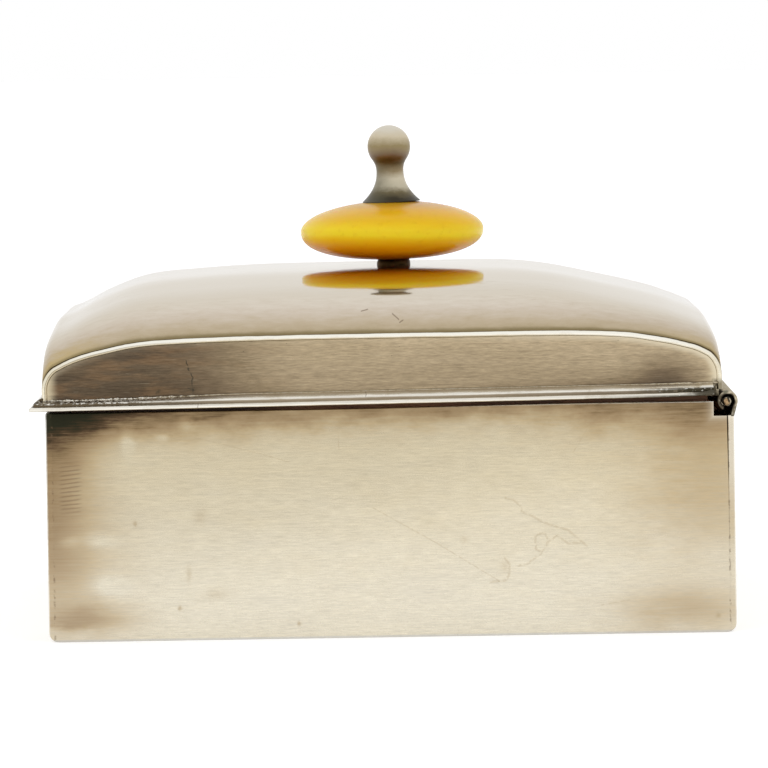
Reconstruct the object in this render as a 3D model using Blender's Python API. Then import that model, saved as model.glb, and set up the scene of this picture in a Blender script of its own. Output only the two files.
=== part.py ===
# Cigarette box: a sheet metal body with a cedar lining, a domed lid on a barrel hinge along the
# back, a stepped moulding round the lid's rim, and a disc knob with a metal finial.
# Metres, +Z up. The front faces -Y, the hinge runs along X at the back, and the origin is the
# centre of the flat base.

import math

import bmesh
import bpy
from mathutils import Matrix, Vector

# Body
body_length = 0.1200
body_depth = 0.0900
body_height = 0.0300
sheet = 0.0008
bend_radius = 0.0013
joint_gap = 0.0003

# Cedar lining
board = 0.0020
divider_board = 0.0018
lining_proud = 0.0012
divider_drop = 0.0015

# Hinge: its axis stands over the inner face of the back wall
axis_rise = 0.0003
knuckle_radius = 0.0013
knuckle_bore_radius = 0.00085
pin_clearance = 0.00008
pin_recess = 0.0004
pin_chamfer = 0.0002
knuckle_count = 5
knuckle_end_gap = 0.0002
foot_height = 0.0010
foot_lip = 0.0009
foot_toe = 0.0005
lid_foot_depth = 0.0004
notch_room = 0.0008

# Where the round of a knuckle meets its foot, degrees from +Y towards +Z
body_knuckle_arc = (-25, 235)
lid_knuckle_arc = (160, 450)

# Lid: it sits a little high at the hinge
front_gap = 0.0002
hinge_gap = 0.00075
lid_overhang = 0.0004
lid_setback = 0.0008
lid_sheet = 0.0008
side_height = 0.00285
end_rise = 0.00634
mid_rise = 0.01374
bead_radius = 0.00045

# Powers of the lid's curves: (1 - share ** first) ** (1 / second)
end_arch_powers = (4.7, 2.63)
front_slope_powers = (2.31, 5.0)
back_slope_powers = (1.95, 3.95)
length_powers = (2.0, 2.75)
station_crowding = 2.5
column_crowding = 2.0

# Rim moulding
moulding_height = 0.0017
moulding_reach = 0.0017
moulding_foot = 0.0002
nose_height = 0.00062
nose_round = 0.00015
cove_depth = 0.00075
cove_top = 0.00105
mitre_gap = 0.0003
moulding_stop = 0.0018

# Knob
knob_offset = 0.00065
knob_lean = math.radians(1.5)
disc_radius = 0.0129
disc_half_height = 0.0041
disc_power = 2.2
disc_centre_height = 0.0046
collar_radius = 0.0028
collar_height = 0.00135
collar_round = 0.0002
ball_radius = 0.00295
ball_centre_height = 0.01607
waist_radius = 0.00187
waist_height = 0.0126
skirt_radius = 0.0038
skirt_foot = 0.00025
flare_power = 2.6
stud_radius = 0.0010
stud_engagement = 0.0022
stud_tail = 0.0004
hole_room = 0.0006
washer_radius = 0.0035
washer_thickness = 0.0006
nut_across_flats = 0.0046
nut_height = 0.0018

# Mesh fineness
weld = 0.0000003
soft_angle = math.radians(35)
bend_steps = 6
knuckle_steps = 20
disc_steps = 20
ball_steps = 12
flare_steps = 8
dome_half_stations = 14
dome_half_columns = 16
arch_half_steps = 14
turn_steps = 40
small_turn_steps = 24
cut_overrun = 0.0020

# Places worked out from the sizes above
half_length = body_length / 2
half_depth = body_depth / 2
axis_y = half_depth - sheet
axis_z = body_height + axis_rise
back_wall_top = axis_z - knuckle_radius - foot_height
inner_half_length = half_length - sheet
lining_half_length = inner_half_length - joint_gap
lining_half_depth = half_depth - sheet - joint_gap
lining_floor = sheet + joint_gap
floor_top = lining_floor + board
pin_radius = knuckle_bore_radius - pin_clearance

lid_rim = body_height + hinge_gap
lid_half_length = half_length + lid_overhang
lid_front = -(half_depth + lid_overhang)
lid_back = axis_y - lid_setback
lid_centre = (lid_front + lid_back) / 2
lid_half_depth = (lid_back - lid_front) / 2
lid_sit = math.atan2(hinge_gap - front_gap, axis_y + half_depth)
side_top = lid_rim + side_height
back_edge = axis_z + knuckle_radius + joint_gap
dome_half_length = lid_half_length - 2 * bead_radius - joint_gap
crest = side_top + mid_rise


# Start from an empty scene
for old in list(bpy.data.objects):
    bpy.data.objects.remove(old, do_unlink=True)


def material(name, colour, roughness, metallic):
    made = bpy.data.materials.new(name)
    made.use_nodes = True
    shader = made.node_tree.nodes["Principled BSDF"]
    shader.inputs["Base Color"].default_value = (*colour, 1.0)
    shader.inputs["Roughness"].default_value = roughness
    shader.inputs["Metallic"].default_value = metallic
    made.diffuse_color = (*colour, 1.0)
    return made


body_metal = material("body_silver", (0.72, 0.64, 0.49), 0.34, 1.0)
lid_metal = material("lid_silver", (0.76, 0.70, 0.60), 0.10, 1.0)
panel_metal = material("end_panel_silver", (0.48, 0.39, 0.27), 0.32, 1.0)
trim_metal = material("trim_silver", (0.78, 0.73, 0.63), 0.22, 1.0)
hinge_metal = material("hinge_silver", (0.62, 0.55, 0.43), 0.36, 1.0)
cedar = material("cedar", (0.33, 0.13, 0.055), 0.62, 0.0)
amber = material("amber_resin", (0.74, 0.44, 0.012), 0.16, 0.0)
dark_brass = material("dark_brass", (0.20, 0.12, 0.045), 0.38, 1.0)


def add_object(name, bm, finish, parent=None, smooth_angle=None):
    """Make an object from a bmesh, with its normals turned outwards."""
    bmesh.ops.recalc_face_normals(bm, faces=bm.faces)
    mesh = bpy.data.meshes.new(name)
    bm.to_mesh(mesh)
    bm.free()
    if smooth_angle is not None:
        mesh.shade_smooth()
        mesh.set_sharp_from_angle(angle=smooth_angle)
    mesh.materials.append(finish)
    made = bpy.data.objects.new(name, mesh)
    bpy.context.collection.objects.link(made)
    if parent is not None:
        made.parent = parent
        made.location = parent["child_offset"]
    return made


def add_frame(name, place, turn, parent=None, child_offset=(0.0, 0.0, 0.0)):
    """An empty that carries pieces which sit at an angle or move together."""
    frame = bpy.data.objects.new(name, None)
    bpy.context.collection.objects.link(frame)
    frame.location = place
    frame.rotation_euler = (turn, 0.0, 0.0)
    if parent is not None:
        frame.parent = parent
    frame["child_offset"] = child_offset
    return frame


def bridge(name, start_ring, end_ring, finish, parent=None, smooth_angle=None):
    """A solid between two matching outlines, each capped by one face."""
    bm = bmesh.new()
    start = [bm.verts.new(point) for point in start_ring]
    end = [bm.verts.new(point) for point in end_ring]
    bm.faces.new(start)
    bm.faces.new(end)
    for i in range(len(start)):
        j = (i + 1) % len(start)
        bm.faces.new((start[i], start[j], end[j], end[i]))
    return add_object(name, bm, finish, parent, smooth_angle)


def prism(name, outline, x_start, x_end, finish, parent=None, smooth_angle=None):
    """An outline of (y, z) points run along X."""
    return bridge(
        name,
        [(x_start, y, z) for y, z in outline],
        [(x_end, y, z) for y, z in outline],
        finish,
        parent,
        smooth_angle,
    )


def block(name, low, high, finish, parent=None):
    outline = [(low[1], low[2]), (high[1], low[2]), (high[1], high[2]), (low[1], high[2])]
    return prism(name, outline, low[0], high[0], finish, parent)


def arc(centre_y, centre_z, radius, start, end, steps):
    """Points on an arc, with the angles in degrees from +Y towards +Z."""
    points = []
    for i in range(steps + 1):
        angle = math.radians(start + (end - start) * i / steps)
        points.append((centre_y + radius * math.cos(angle), centre_z + radius * math.sin(angle)))
    return points


def turned(name, profile, finish, parent=None, steps=turn_steps, along_x=False):
    """Spin a closed profile of (radius, height) points about its axis."""
    bm = bmesh.new()
    verts = [bm.verts.new((radius, 0.0, height)) for radius, height in profile]
    edges = [bm.edges.new((verts[i], verts[(i + 1) % len(verts)])) for i in range(len(verts))]
    on_axis = [e for e in edges if all(abs(v.co.x) < weld for v in e.verts)]
    bmesh.ops.delete(bm, geom=on_axis, context="EDGES_FACES")
    bmesh.ops.spin(
        bm,
        geom=bm.verts[:] + bm.edges[:],
        cent=(0.0, 0.0, 0.0),
        axis=(0.0, 0.0, 1.0),
        angle=math.tau,
        steps=steps,
        use_merge=True,
    )
    bmesh.ops.remove_doubles(bm, verts=bm.verts, dist=weld)
    if along_x:
        bmesh.ops.transform(bm, matrix=Matrix.Rotation(math.pi / 2, 4, "Y"), verts=bm.verts)
    return add_object(name, bm, finish, parent, soft_angle)


def ring_section(inner_radius, outer_radius, bottom, top):
    """The closed profile of a plain ring, or of a rod when its inner radius is zero."""
    return [(inner_radius, bottom), (outer_radius, bottom), (outer_radius, top), (inner_radius, top)]


def cut(target, cutter):
    """Take the cutter's shape out of the target."""
    cutter.hide_render = True
    cutter.display_type = "WIRE"
    boolean = target.modifiers.new("cut", "BOOLEAN")
    boolean.operation = "DIFFERENCE"
    boolean.solver = "EXACT"
    boolean.object = cutter


# Body

def make_body():
    inner_radius = bend_radius - sheet
    outer = [(-half_depth, body_height)]
    outer += arc(-half_depth + bend_radius, bend_radius, bend_radius, 180, 270, bend_steps)
    outer += arc(half_depth - bend_radius, bend_radius, bend_radius, 270, 360, bend_steps)
    outer += [(half_depth, back_wall_top), (half_depth - sheet, back_wall_top)]
    inner = arc(half_depth - bend_radius, bend_radius, inner_radius, 360, 270, bend_steps)
    inner += arc(-half_depth + bend_radius, bend_radius, inner_radius, 270, 180, bend_steps)
    inner += [(-half_depth + sheet, body_height)]
    prism("body_wrapper", outer + inner, -half_length, half_length, body_metal)

    # The end panels stand inside the bent wrapper, with a step for the hinge
    edge = half_depth - sheet - joint_gap
    bottom = sheet + joint_gap
    corner = bend_radius - sheet
    notch_y = axis_y - knuckle_radius - notch_room
    notch_z = back_wall_top + joint_gap
    outline = arc(-edge + corner, bottom + corner, corner, 180, 270, bend_steps)
    outline += arc(edge - corner, bottom + corner, corner, 270, 360, bend_steps)
    outline += [(edge, notch_z), (notch_y, notch_z), (notch_y, body_height), (-edge, body_height)]
    prism("body_end_panel_left", outline, -half_length, -inner_half_length, body_metal)
    prism("body_end_panel_right", outline, inner_half_length, half_length, body_metal)


def make_lining():
    x = lining_half_length
    y = lining_half_depth
    top = body_height + lining_proud
    wall_floor = floor_top + joint_gap
    board_inner = y - board
    end_y = board_inner - joint_gap
    block("lining_floor", (-x, -y, lining_floor), (x, y, floor_top), cedar)
    block("lining_front", (-x, -y, wall_floor), (x, -board_inner, top), cedar)
    block("lining_back", (-x, board_inner, wall_floor), (x, y, back_wall_top), cedar)
    block("lining_end_left", (-x, -end_y, wall_floor), (board - x, end_y, top), cedar)
    block("lining_end_right", (x - board, -end_y, wall_floor), (x, end_y, top), cedar)
    half = divider_board / 2
    divider_top = body_height - divider_drop
    block("lining_divider", (-half, -end_y, wall_floor), (half, end_y, divider_top), cedar)


# Hinge

def body_knuckle_outline():
    seat = back_wall_top + joint_gap
    outline = [(axis_y - foot_toe, seat), (half_depth, seat), (half_depth, seat + foot_lip)]
    return outline + arc(axis_y, axis_z, knuckle_radius, *body_knuckle_arc, knuckle_steps)


def lid_knuckle_outline():
    seat = back_edge - joint_gap
    inner_face = lid_back - lid_sheet
    outline = arc(axis_y, axis_z, knuckle_radius, *lid_knuckle_arc, knuckle_steps)
    return outline + [(inner_face, seat), (inner_face, seat - lid_foot_depth)]


def make_hinge(lid_frame):
    pitch = body_length / knuckle_count
    bore = None
    for i in range(knuckle_count):
        on_lid = i % 2 == 1
        number = i // 2 + 1
        name = f"hinge_knuckle_lid_{number}" if on_lid else f"hinge_knuckle_body_{number}"
        outline = lid_knuckle_outline() if on_lid else body_knuckle_outline()
        x_start = -half_length + i * pitch
        x_end = x_start + pitch
        if i > 0:
            x_start += knuckle_end_gap / 2
        if i < knuckle_count - 1:
            x_end -= knuckle_end_gap / 2
        parent = lid_frame if on_lid else None
        made = prism(name, outline, x_start, x_end, hinge_metal, parent, soft_angle)
        if bore is None:
            reach = half_length + cut_overrun
            section = ring_section(0, knuckle_bore_radius, -reach, reach)
            bore = turned("hinge_bore_cutter", section, hinge_metal, None, small_turn_steps, True)
            bore.location = (0.0, axis_y, axis_z)
        cut(made, bore)

    end = half_length - pin_recess
    profile = [
        (0, -end),
        (pin_radius - pin_chamfer, -end),
        (pin_radius, -end + pin_chamfer),
        (pin_radius, end - pin_chamfer),
        (pin_radius - pin_chamfer, end),
        (0, end),
    ]
    pin = turned("hinge_pin", profile, hinge_metal, None, small_turn_steps, True)
    pin.location = (0.0, axis_y, axis_z)


# Lid

def arch(share, rise, powers):
    return rise * max(0.0, 1 - abs(share) ** powers[0]) ** (1 / powers[1])


def dome_height(x, y, inset):
    """Height of the dome's sheet over (x, y); inset is 0 outside and the sheet's thickness inside."""
    across = (y - lid_centre) / (lid_half_depth - inset)
    slope_powers = front_slope_powers if across < 0 else back_slope_powers
    at_end = arch(across, end_rise - inset, end_arch_powers)
    at_middle = arch(across, mid_rise - inset, slope_powers)
    along = min(1.0, abs(x) / (dome_half_length - inset))
    return side_top + at_end + arch(along, 1.0, length_powers) * (at_middle - at_end)


def spread(half_steps, power):
    """Shares from -1 to 1 that crowd towards both ends."""
    shares = []
    for i in range(-half_steps, half_steps + 1):
        rest = 1 - abs(i) / half_steps
        shares.append(math.copysign(1 - rest ** power, i))
    return shares


def dome_skin(inset):
    """A grid of points over one face of the dome's sheet, from front rim to back edge."""
    rows = []
    half = lid_half_depth - inset
    for along in spread(dome_half_stations, station_crowding):
        x = along * dome_half_length
        row = [(x, lid_centre - half, lid_rim)]
        for across in spread(dome_half_columns, column_crowding):
            y = lid_centre + across * half
            row.append((x, y, dome_height(x, y, inset)))
        row.append((x, lid_centre + half, back_edge))
        rows.append(row)
    return rows


def make_dome(lid_frame):
    bm = bmesh.new()
    outer = [[bm.verts.new(point) for point in row] for row in dome_skin(0.0)]
    inner = [[bm.verts.new(point) for point in row] for row in dome_skin(lid_sheet)]
    rows = len(outer)
    columns = len(outer[0])
    for skin in (outer, inner):
        for i in range(rows - 1):
            for j in range(columns - 1):
                bm.faces.new((skin[i][j], skin[i + 1][j], skin[i + 1][j + 1], skin[i][j + 1]))
    for i in (0, rows - 1):
        for j in range(columns - 1):
            bm.faces.new((outer[i][j], outer[i][j + 1], inner[i][j + 1], inner[i][j]))
    for j in (0, columns - 1):
        for i in range(rows - 1):
            bm.faces.new((outer[i][j], outer[i + 1][j], inner[i + 1][j], inner[i][j]))
    dome = add_object("lid_dome", bm, lid_metal, lid_frame, soft_angle)

    # Hole for the knob's stud
    section = ring_section(0, stud_radius + hole_room, -mid_rise, mid_rise)
    hole = turned("stud_hole_cutter", section, lid_metal, lid_frame, small_turn_steps)
    hole.location = Vector(lid_frame["child_offset"]) + Vector((0.0, knob_offset, crest))
    cut(dome, hole)


def end_arch_line(inset, foot_front, foot_back):
    """The end panel's arch as (y, z) points, drawn in by an inset, with straight legs."""
    half = lid_half_depth - inset
    points = [(lid_centre - half, foot_front)]
    for across in spread(arch_half_steps, column_crowding):
        z = side_top + arch(across, end_rise - inset, end_arch_powers)
        points.append((lid_centre + across * half, z))
    points.append((lid_centre + half, foot_back))
    return points


def make_lid_ends(lid_frame):
    outline = end_arch_line(2 * bead_radius + joint_gap, lid_rim, lid_rim)
    for side, sign in (("left", -1), ("right", 1)):
        x_inner = sign * (lid_half_length - lid_sheet)
        x_outer = sign * lid_half_length
        prism(f"lid_end_panel_{side}", outline, x_inner, x_outer, panel_metal, lid_frame)

        # A round bead runs along the arched edge of the panel
        curve = bpy.data.curves.new(f"lid_bead_{side}", "CURVE")
        curve.dimensions = "3D"
        curve.bevel_depth = bead_radius
        curve.bevel_resolution = 2
        curve.use_fill_caps = True
        line = end_arch_line(bead_radius, lid_rim, back_edge)
        spline = curve.splines.new("POLY")
        spline.points.add(len(line) - 1)
        for point, (y, z) in zip(spline.points, line):
            point.co = (sign * (lid_half_length - bead_radius), y, z, 1.0)
        curve.materials.append(trim_metal)
        bead = bpy.data.objects.new(f"lid_bead_{side}", curve)
        bpy.context.collection.objects.link(bead)
        bead.parent = lid_frame
        bead.location = lid_frame["child_offset"]


def moulding_profile():
    """(reach, height) points from the lid's wall: a nose, a cove and a sloping band."""
    back = joint_gap
    reach = moulding_reach
    cove = reach - cove_depth
    cove_bottom = nose_height + moulding_foot
    band_top = (back + cove) / 2
    return [
        (back, 0.0),
        (reach - nose_round, 0.0),
        (reach, nose_round),
        (reach, nose_height - nose_round),
        (reach - nose_round, nose_height),
        (cove + nose_round, cove_bottom),
        (cove, cove_top),
        (cove + nose_round, cove_top + nose_round),
        (cove, (cove_top + moulding_height) / 2 + nose_round),
        (band_top, moulding_height),
        (back, moulding_height),
    ]


def make_mouldings(lid_frame):
    profile = moulding_profile()
    slack = mitre_gap / 2
    left = [(-(lid_half_length + u - slack), lid_front - u, lid_rim + v) for u, v in profile]
    right = [(lid_half_length + u - slack, lid_front - u, lid_rim + v) for u, v in profile]
    bridge("moulding_front", left, right, trim_metal, lid_frame, soft_angle)
    stop = axis_y - moulding_stop
    for side, sign in (("left", -1), ("right", 1)):
        front = [(sign * (lid_half_length + u), lid_front - u + slack, lid_rim + v) for u, v in profile]
        back = [(sign * (lid_half_length + u), stop, lid_rim + v) for u, v in profile]
        bridge(f"moulding_end_{side}", front, back, trim_metal, lid_frame, soft_angle)


# Knob

def disc_profile():
    """A plump disc with a bore, flat seats and a pocket underneath for the collar."""
    bore = stud_radius + joint_gap
    pocket = collar_radius + joint_gap
    pocket_top = 2 * joint_gap + collar_height
    centre = disc_centre_height
    points = []
    first = math.asin(pocket / disc_radius)
    last = math.pi - math.asin(bore / disc_radius)
    for i in range(disc_steps + 1):
        angle = first + (last - first) * i / disc_steps
        radius = disc_radius * math.sin(angle) ** (2 / disc_power)
        lift = -math.copysign(abs(math.cos(angle)) ** (2 / disc_power), math.cos(angle))
        points.append((radius, centre + disc_half_height * lift))
    points[0] = (pocket, points[0][1])
    points[-1] = (bore, points[-1][1])
    return points + [(bore, pocket_top), (pocket, pocket_top)]


def finial_profile():
    """A ball on a waisted stem that flares to a skirt, with a blind bore for the stud."""
    foot = disc_centre_height + disc_half_height + joint_gap
    bore = stud_radius + joint_gap
    bore_top = foot + stud_engagement + joint_gap
    points = [(0, ball_centre_height + ball_radius)]
    neck_angle = math.pi - math.asin(waist_radius / ball_radius)
    for i in range(1, ball_steps + 1):
        angle = neck_angle * i / ball_steps
        points.append((ball_radius * math.sin(angle), ball_centre_height + ball_radius * math.cos(angle)))
    neck_z = points[-1][1]
    points.append((waist_radius, (neck_z + waist_height) / 2))
    flare = waist_height - foot - skirt_foot
    for i in range(flare_steps + 1):
        share = i / flare_steps
        radius = waist_radius + (skirt_radius - waist_radius) * share ** flare_power
        points.append((radius, waist_height - flare * share))
    points += [(skirt_radius, foot), (bore, foot), (bore, bore_top), (0, bore_top)]
    return points


def make_knob(lid_frame):
    place = Vector(lid_frame["child_offset"]) + Vector((0.0, knob_offset, crest))
    knob = add_frame("knob_frame", place, knob_lean, lid_frame)
    bore = stud_radius + joint_gap

    low = joint_gap
    high = joint_gap + collar_height
    collar = [
        (bore, low),
        (collar_radius - collar_round, low),
        (collar_radius, low + collar_round),
        (collar_radius, high),
        (bore, high),
    ]
    turned("knob_collar", collar, dark_brass, knob, small_turn_steps)
    turned("knob_disc", disc_profile(), amber, knob)
    turned("knob_finial", finial_profile(), trim_metal, knob, small_turn_steps)

    washer_top = -lid_sheet - joint_gap
    washer_bottom = washer_top - washer_thickness
    washer = ring_section(bore, washer_radius, washer_bottom, washer_top)
    turned("knob_washer", washer, dark_brass, knob, small_turn_steps)

    nut_top = washer_bottom - joint_gap
    nut_bottom = nut_top - nut_height
    corner = nut_across_flats / 2 / math.cos(math.pi / 6)
    nut = turned("knob_nut", ring_section(bore, corner, nut_bottom, nut_top), dark_brass, knob, 6)
    nut.data.shade_flat()

    tail = nut_bottom - stud_tail
    head = disc_centre_height + disc_half_height + joint_gap + stud_engagement
    turned("knob_stud", ring_section(0, stud_radius, tail, head), dark_brass, knob, small_turn_steps)


make_body()
make_lining()
lid = add_frame("lid_frame", (0.0, axis_y, axis_z), lid_sit, None, (0.0, -axis_y, -axis_z))
make_hinge(lid)
make_dome(lid)
make_lid_ends(lid)
make_mouldings(lid)
make_knob(lid)
bpy.context.view_layer.update()
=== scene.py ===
import math

import bmesh
import bpy
from mathutils import Matrix, Vector, noise


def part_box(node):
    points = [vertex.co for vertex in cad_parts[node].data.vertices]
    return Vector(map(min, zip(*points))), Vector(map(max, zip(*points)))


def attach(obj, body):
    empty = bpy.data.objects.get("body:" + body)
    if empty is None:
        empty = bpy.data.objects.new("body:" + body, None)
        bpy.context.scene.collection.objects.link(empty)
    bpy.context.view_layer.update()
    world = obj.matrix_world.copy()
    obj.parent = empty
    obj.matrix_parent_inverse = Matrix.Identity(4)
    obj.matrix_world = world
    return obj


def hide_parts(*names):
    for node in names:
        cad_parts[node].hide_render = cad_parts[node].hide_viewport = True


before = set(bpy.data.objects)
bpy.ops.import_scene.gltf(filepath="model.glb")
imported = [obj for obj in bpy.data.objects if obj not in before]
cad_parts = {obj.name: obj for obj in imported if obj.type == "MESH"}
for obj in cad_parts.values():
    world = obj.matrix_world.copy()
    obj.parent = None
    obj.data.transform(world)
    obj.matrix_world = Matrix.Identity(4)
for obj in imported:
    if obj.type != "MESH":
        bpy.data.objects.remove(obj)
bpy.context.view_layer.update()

mm = 0.001
weld = 0.0002 * mm

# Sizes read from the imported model
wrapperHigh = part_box("body_wrapper")[1]
endLow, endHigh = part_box("body_end_panel_right")
pinLow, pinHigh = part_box("hinge_pin")
halfLength = wrapperHigh.x
halfDepth = wrapperHigh.y
bodyTop = wrapperHigh.z
sheet = endHigh.x - endLow.x
hingeY = (pinLow.y + pinHigh.y) / 2
hingeZ = (pinLow.z + pinHigh.z) / 2
pinRadius = (pinHigh.z - pinLow.z) / 2
bothEnds = (("left", -1), ("right", 1))


# Shader building

class Wire:  # an output socket that can stand in a sum
    def __init__(self, nodes, socket):
        self.nodes = nodes
        self.socket = socket

    def maths(self, operation, *values):
        return self.nodes.add("ShaderNodeMath", {"operation": operation}, dict(enumerate(values)))

    def __add__(self, other):
        return self.maths("ADD", self, other)

    def __radd__(self, other):
        return self.maths("ADD", other, self)

    def __sub__(self, other):
        return self.maths("SUBTRACT", self, other)

    def __rsub__(self, other):
        return self.maths("SUBTRACT", other, self)

    def __mul__(self, other):
        return self.maths("MULTIPLY", self, other)

    def __rmul__(self, other):
        return self.maths("MULTIPLY", other, self)

    def __truediv__(self, other):
        return self.maths("DIVIDE", self, other)

    def __abs__(self):
        return self.maths("ABSOLUTE", self)

    def most(self, other):
        return self.maths("MAXIMUM", self, other)

    def least(self, other):
        return self.maths("MINIMUM", self, other)

    def fract(self):
        return self.maths("FRACT", self)

    def exponent(self):
        return self.maths("EXPONENT", self)

    def power(self, exponent):  # works for a negative base too
        return self.maths("POWER", abs(self), exponent)

    def band(self, low, high):  # 0 at low, 1 at high, smooth between them; low can be the larger
        sockets = {"Value": self, "From Min": low, "From Max": high}
        return self.nodes.add("ShaderNodeMapRange", {"interpolation_type": "SMOOTHSTEP"}, sockets)

    def within(self, start, full, fade, end):  # 1 from full to fade
        return self.band(start, full) * self.band(end, fade)


class Nodes:  # a node tree
    def __init__(self, tree):
        self.tree = tree

    def add(self, kind, settings=None, sockets=None, output=0):
        node = self.tree.nodes.new(kind)
        for name, value in (settings or {}).items():
            if name == "stops":
                self.setStops(node.color_ramp, value)
            else:
                setattr(node, name, value)
        for key, value in (sockets or {}).items():
            self.plug(node.inputs[key], value)
        return Wire(self, node.outputs[output])

    def setStops(self, ramp, stops):
        while len(ramp.elements) < len(stops):
            ramp.elements.new(0.5)
        for element, (place, colour) in zip(ramp.elements, stops):
            element.position = place
            element.color = (*colour, 1.0)

    def plug(self, socket, value):
        if isinstance(value, Wire):
            self.tree.links.new(value.socket, socket)
        elif socket.type == "RGBA":
            socket.default_value = (*value, 1.0)
        else:
            socket.default_value = value

    def toCameraOrMirror(self):  # 1 for what the camera sees, itself or by a mirror or through glass
        rays = [self.add("ShaderNodeLightPath", output=i) for i in (0, 3, 6)]
        return rays[0].most(rays[1]).most(rays[2])


class Finish(Nodes):  # a material, and the colour built up in it so far
    def __init__(self, name):
        self.material = bpy.data.materials.new(name)
        self.material.use_nodes = True
        super().__init__(self.material.node_tree)
        self.shader = self.tree.nodes["Principled BSDF"]
        self.colour = None

    def set(self, **sockets):  # BaseColor=..., Roughness=...
        for key, value in sockets.items():
            name = "".join(" " + letter if letter.isupper() else letter for letter in key).strip()
            self.plug(self.shader.inputs[name], value)
        return self.material

    def surface(self, rough, height, depth, metallic=1.0):
        bump = self.add("ShaderNodeBump", {}, {"Height": height, "Distance": depth})
        return self.set(BaseColor=self.colour, Roughness=rough, Metallic=metallic, Normal=bump)

    def over(self, amount, tone):  # lays a colour, or one of the named tones, over the colour so far
        colour = silverTones[tone] if isinstance(tone, str) else tone
        self.colour = self.blend(amount, self.colour, colour)

    def times(self, tint):
        self.colour = self.blend(1.0, self.colour, tint, "MULTIPLY")

    def place(self, scale=(1, 1, 1), centre=(0, 0, 0), turn=(0, 0, 0)):  # object place in mm about a centre
        seen = self.add("ShaderNodeTexCoord", output=3)
        sockets = {"Vector": seen, "Location": centre, "Rotation": turn, "Scale": (mm, mm, mm)}
        local = self.add("ShaderNodeMapping", {"vector_type": "TEXTURE"}, sockets)
        return self.add("ShaderNodeMapping", {}, {"Vector": local, "Scale": scale})

    def split(self, vector):
        return [self.add("ShaderNodeSeparateXYZ", {}, {0: vector}, i) for i in range(3)]

    def noise(self, place, scale, detail, roughness, distortion=0.0):
        sockets = {"Vector": place, "Scale": scale, "Detail": detail, "Roughness": roughness}
        sockets["Distortion"] = distortion
        return self.add("ShaderNodeTexNoise", {}, sockets)

    def grain(self, stretch, detail, roughness):  # noise about 0, its scale set for each axis
        return self.noise(self.place(stretch), 1.0, detail, roughness) - 0.5

    def cells(self, place, scale, output=0):
        return self.add("ShaderNodeTexVoronoi", {}, {"Vector": place, "Scale": scale}, output)

    def specks(self, place, scale, size, share):  # ragged spots in a share of the cells
        ragged = self.noise(place, scale * 12, 3, 0.7) - 0.5
        spot = (self.cells(place, scale) + ragged * size * 3).band(size, size * 0.5)
        chosen = self.add("ShaderNodeSeparateColor", {}, {0: self.cells(place, scale, 1)})
        return spot * chosen.band(share + 0.01, share)

    def blend(self, factor, first, second, kind="MIX"):
        settings = {"data_type": "RGBA", "blend_type": kind}
        return self.add("ShaderNodeMix", settings, {0: factor, 6: first, 7: second}, 2)

    def ramp(self, value, stops):
        return self.add("ShaderNodeValToRGB", {"stops": stops}, {0: value})

    def vector(self, operation, first, second, output=0):
        return self.add("ShaderNodeVectorMath", {"operation": operation}, {0: first, 1: second}, output)

    def strokes(self, y, z, lines, width):  # scratches along chosen points in the end's plane, in mm
        total = None
        point = self.add("ShaderNodeCombineXYZ", {}, {0: y, 1: z, 2: 0.0})
        for start, end in [pair for line in lines for pair in zip(line, line[1:])]:
            run = Vector((end[0] - start[0], end[1] - start[1], 0.0))
            offset = self.vector("SUBTRACT", point, (*start, 0.0))
            along = (self.vector("DOT_PRODUCT", offset, run, 1) / run.length_squared).most(0.0).least(1.0)
            foot = self.add("ShaderNodeVectorMath", {"operation": "SCALE"}, {0: run, 3: along})
            mark = self.vector("DISTANCE", offset, foot, 1).band(width, width * 0.35)
            total = mark if total is None else total.most(mark)
        return total

    def stains(self, y, z, table):  # soft patches: place, reach and depth of each, in mm
        total = None
        for middle, reach, depth in table:
            far = ((y - middle[0]) / reach[0]).power(2) + ((z - middle[1]) / reach[1]).power(2)
            patch = (far * -1.0).exponent() * depth
            total = patch if total is None else total + patch
        return total

    def attribute(self, name):
        return self.add("ShaderNodeAttribute", {"attribute_name": name}, {}, 2)


# Camera, at the photo's angle: level with the lid and a little above it

cameraSettings = {
    "azimuth": 90.0,
    "elevation": 3.0,
    "roll": 0.9,
    "distance": 1.0,
    "lens": 358.8,
    "sensor": 36.0,
    "target": (60 * mm, 0.0, 30 * mm),
    "shift": (-0.0073, 0.0317),
}


def addObject(name, data):
    made = bpy.data.objects.new(name, data)
    bpy.context.scene.collection.objects.link(made)
    return made


def makeCamera():
    data = bpy.data.cameras.new("camera")
    data.lens = cameraSettings["lens"]
    data.sensor_width = cameraSettings["sensor"]
    data.shift_x, data.shift_y = cameraSettings["shift"]
    data.clip_start = 0.05
    camera = addObject("camera", data)
    azimuth = math.radians(cameraSettings["azimuth"])
    elevation = math.radians(cameraSettings["elevation"])
    level = math.cos(elevation)
    back = Vector((math.sin(azimuth) * level, -math.cos(azimuth) * level, math.sin(elevation)))
    place = Vector(cameraSettings["target"]) + back * cameraSettings["distance"]
    aim = (-back).to_track_quat("-Z", "Y").to_matrix().to_4x4()
    roll = Matrix.Rotation(math.radians(-cameraSettings["roll"]), 4, "Z")
    camera.matrix_world = Matrix.Translation(place) @ aim @ roll
    bpy.context.scene.camera = camera
    print("camera", cameraSettings["lens"], "mm")


# Studio: a white sweep, an even white surround and two soft lamps

studioSettings = {
    "surround": 0.92,
    "floorPaper": (0.72, 0.72, 0.72),
    "floorGlow": 0.46,
    "floorSize": 8.0,
    "keyPlace": (0.9, -0.9, 1.3),
    "keySize": 1.4,
    "keyPower": 2.6,
    "fillPlace": (0.6, 1.1, 0.9),
    "fillSize": 1.4,
    "fillPower": 1.4,
}


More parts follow.
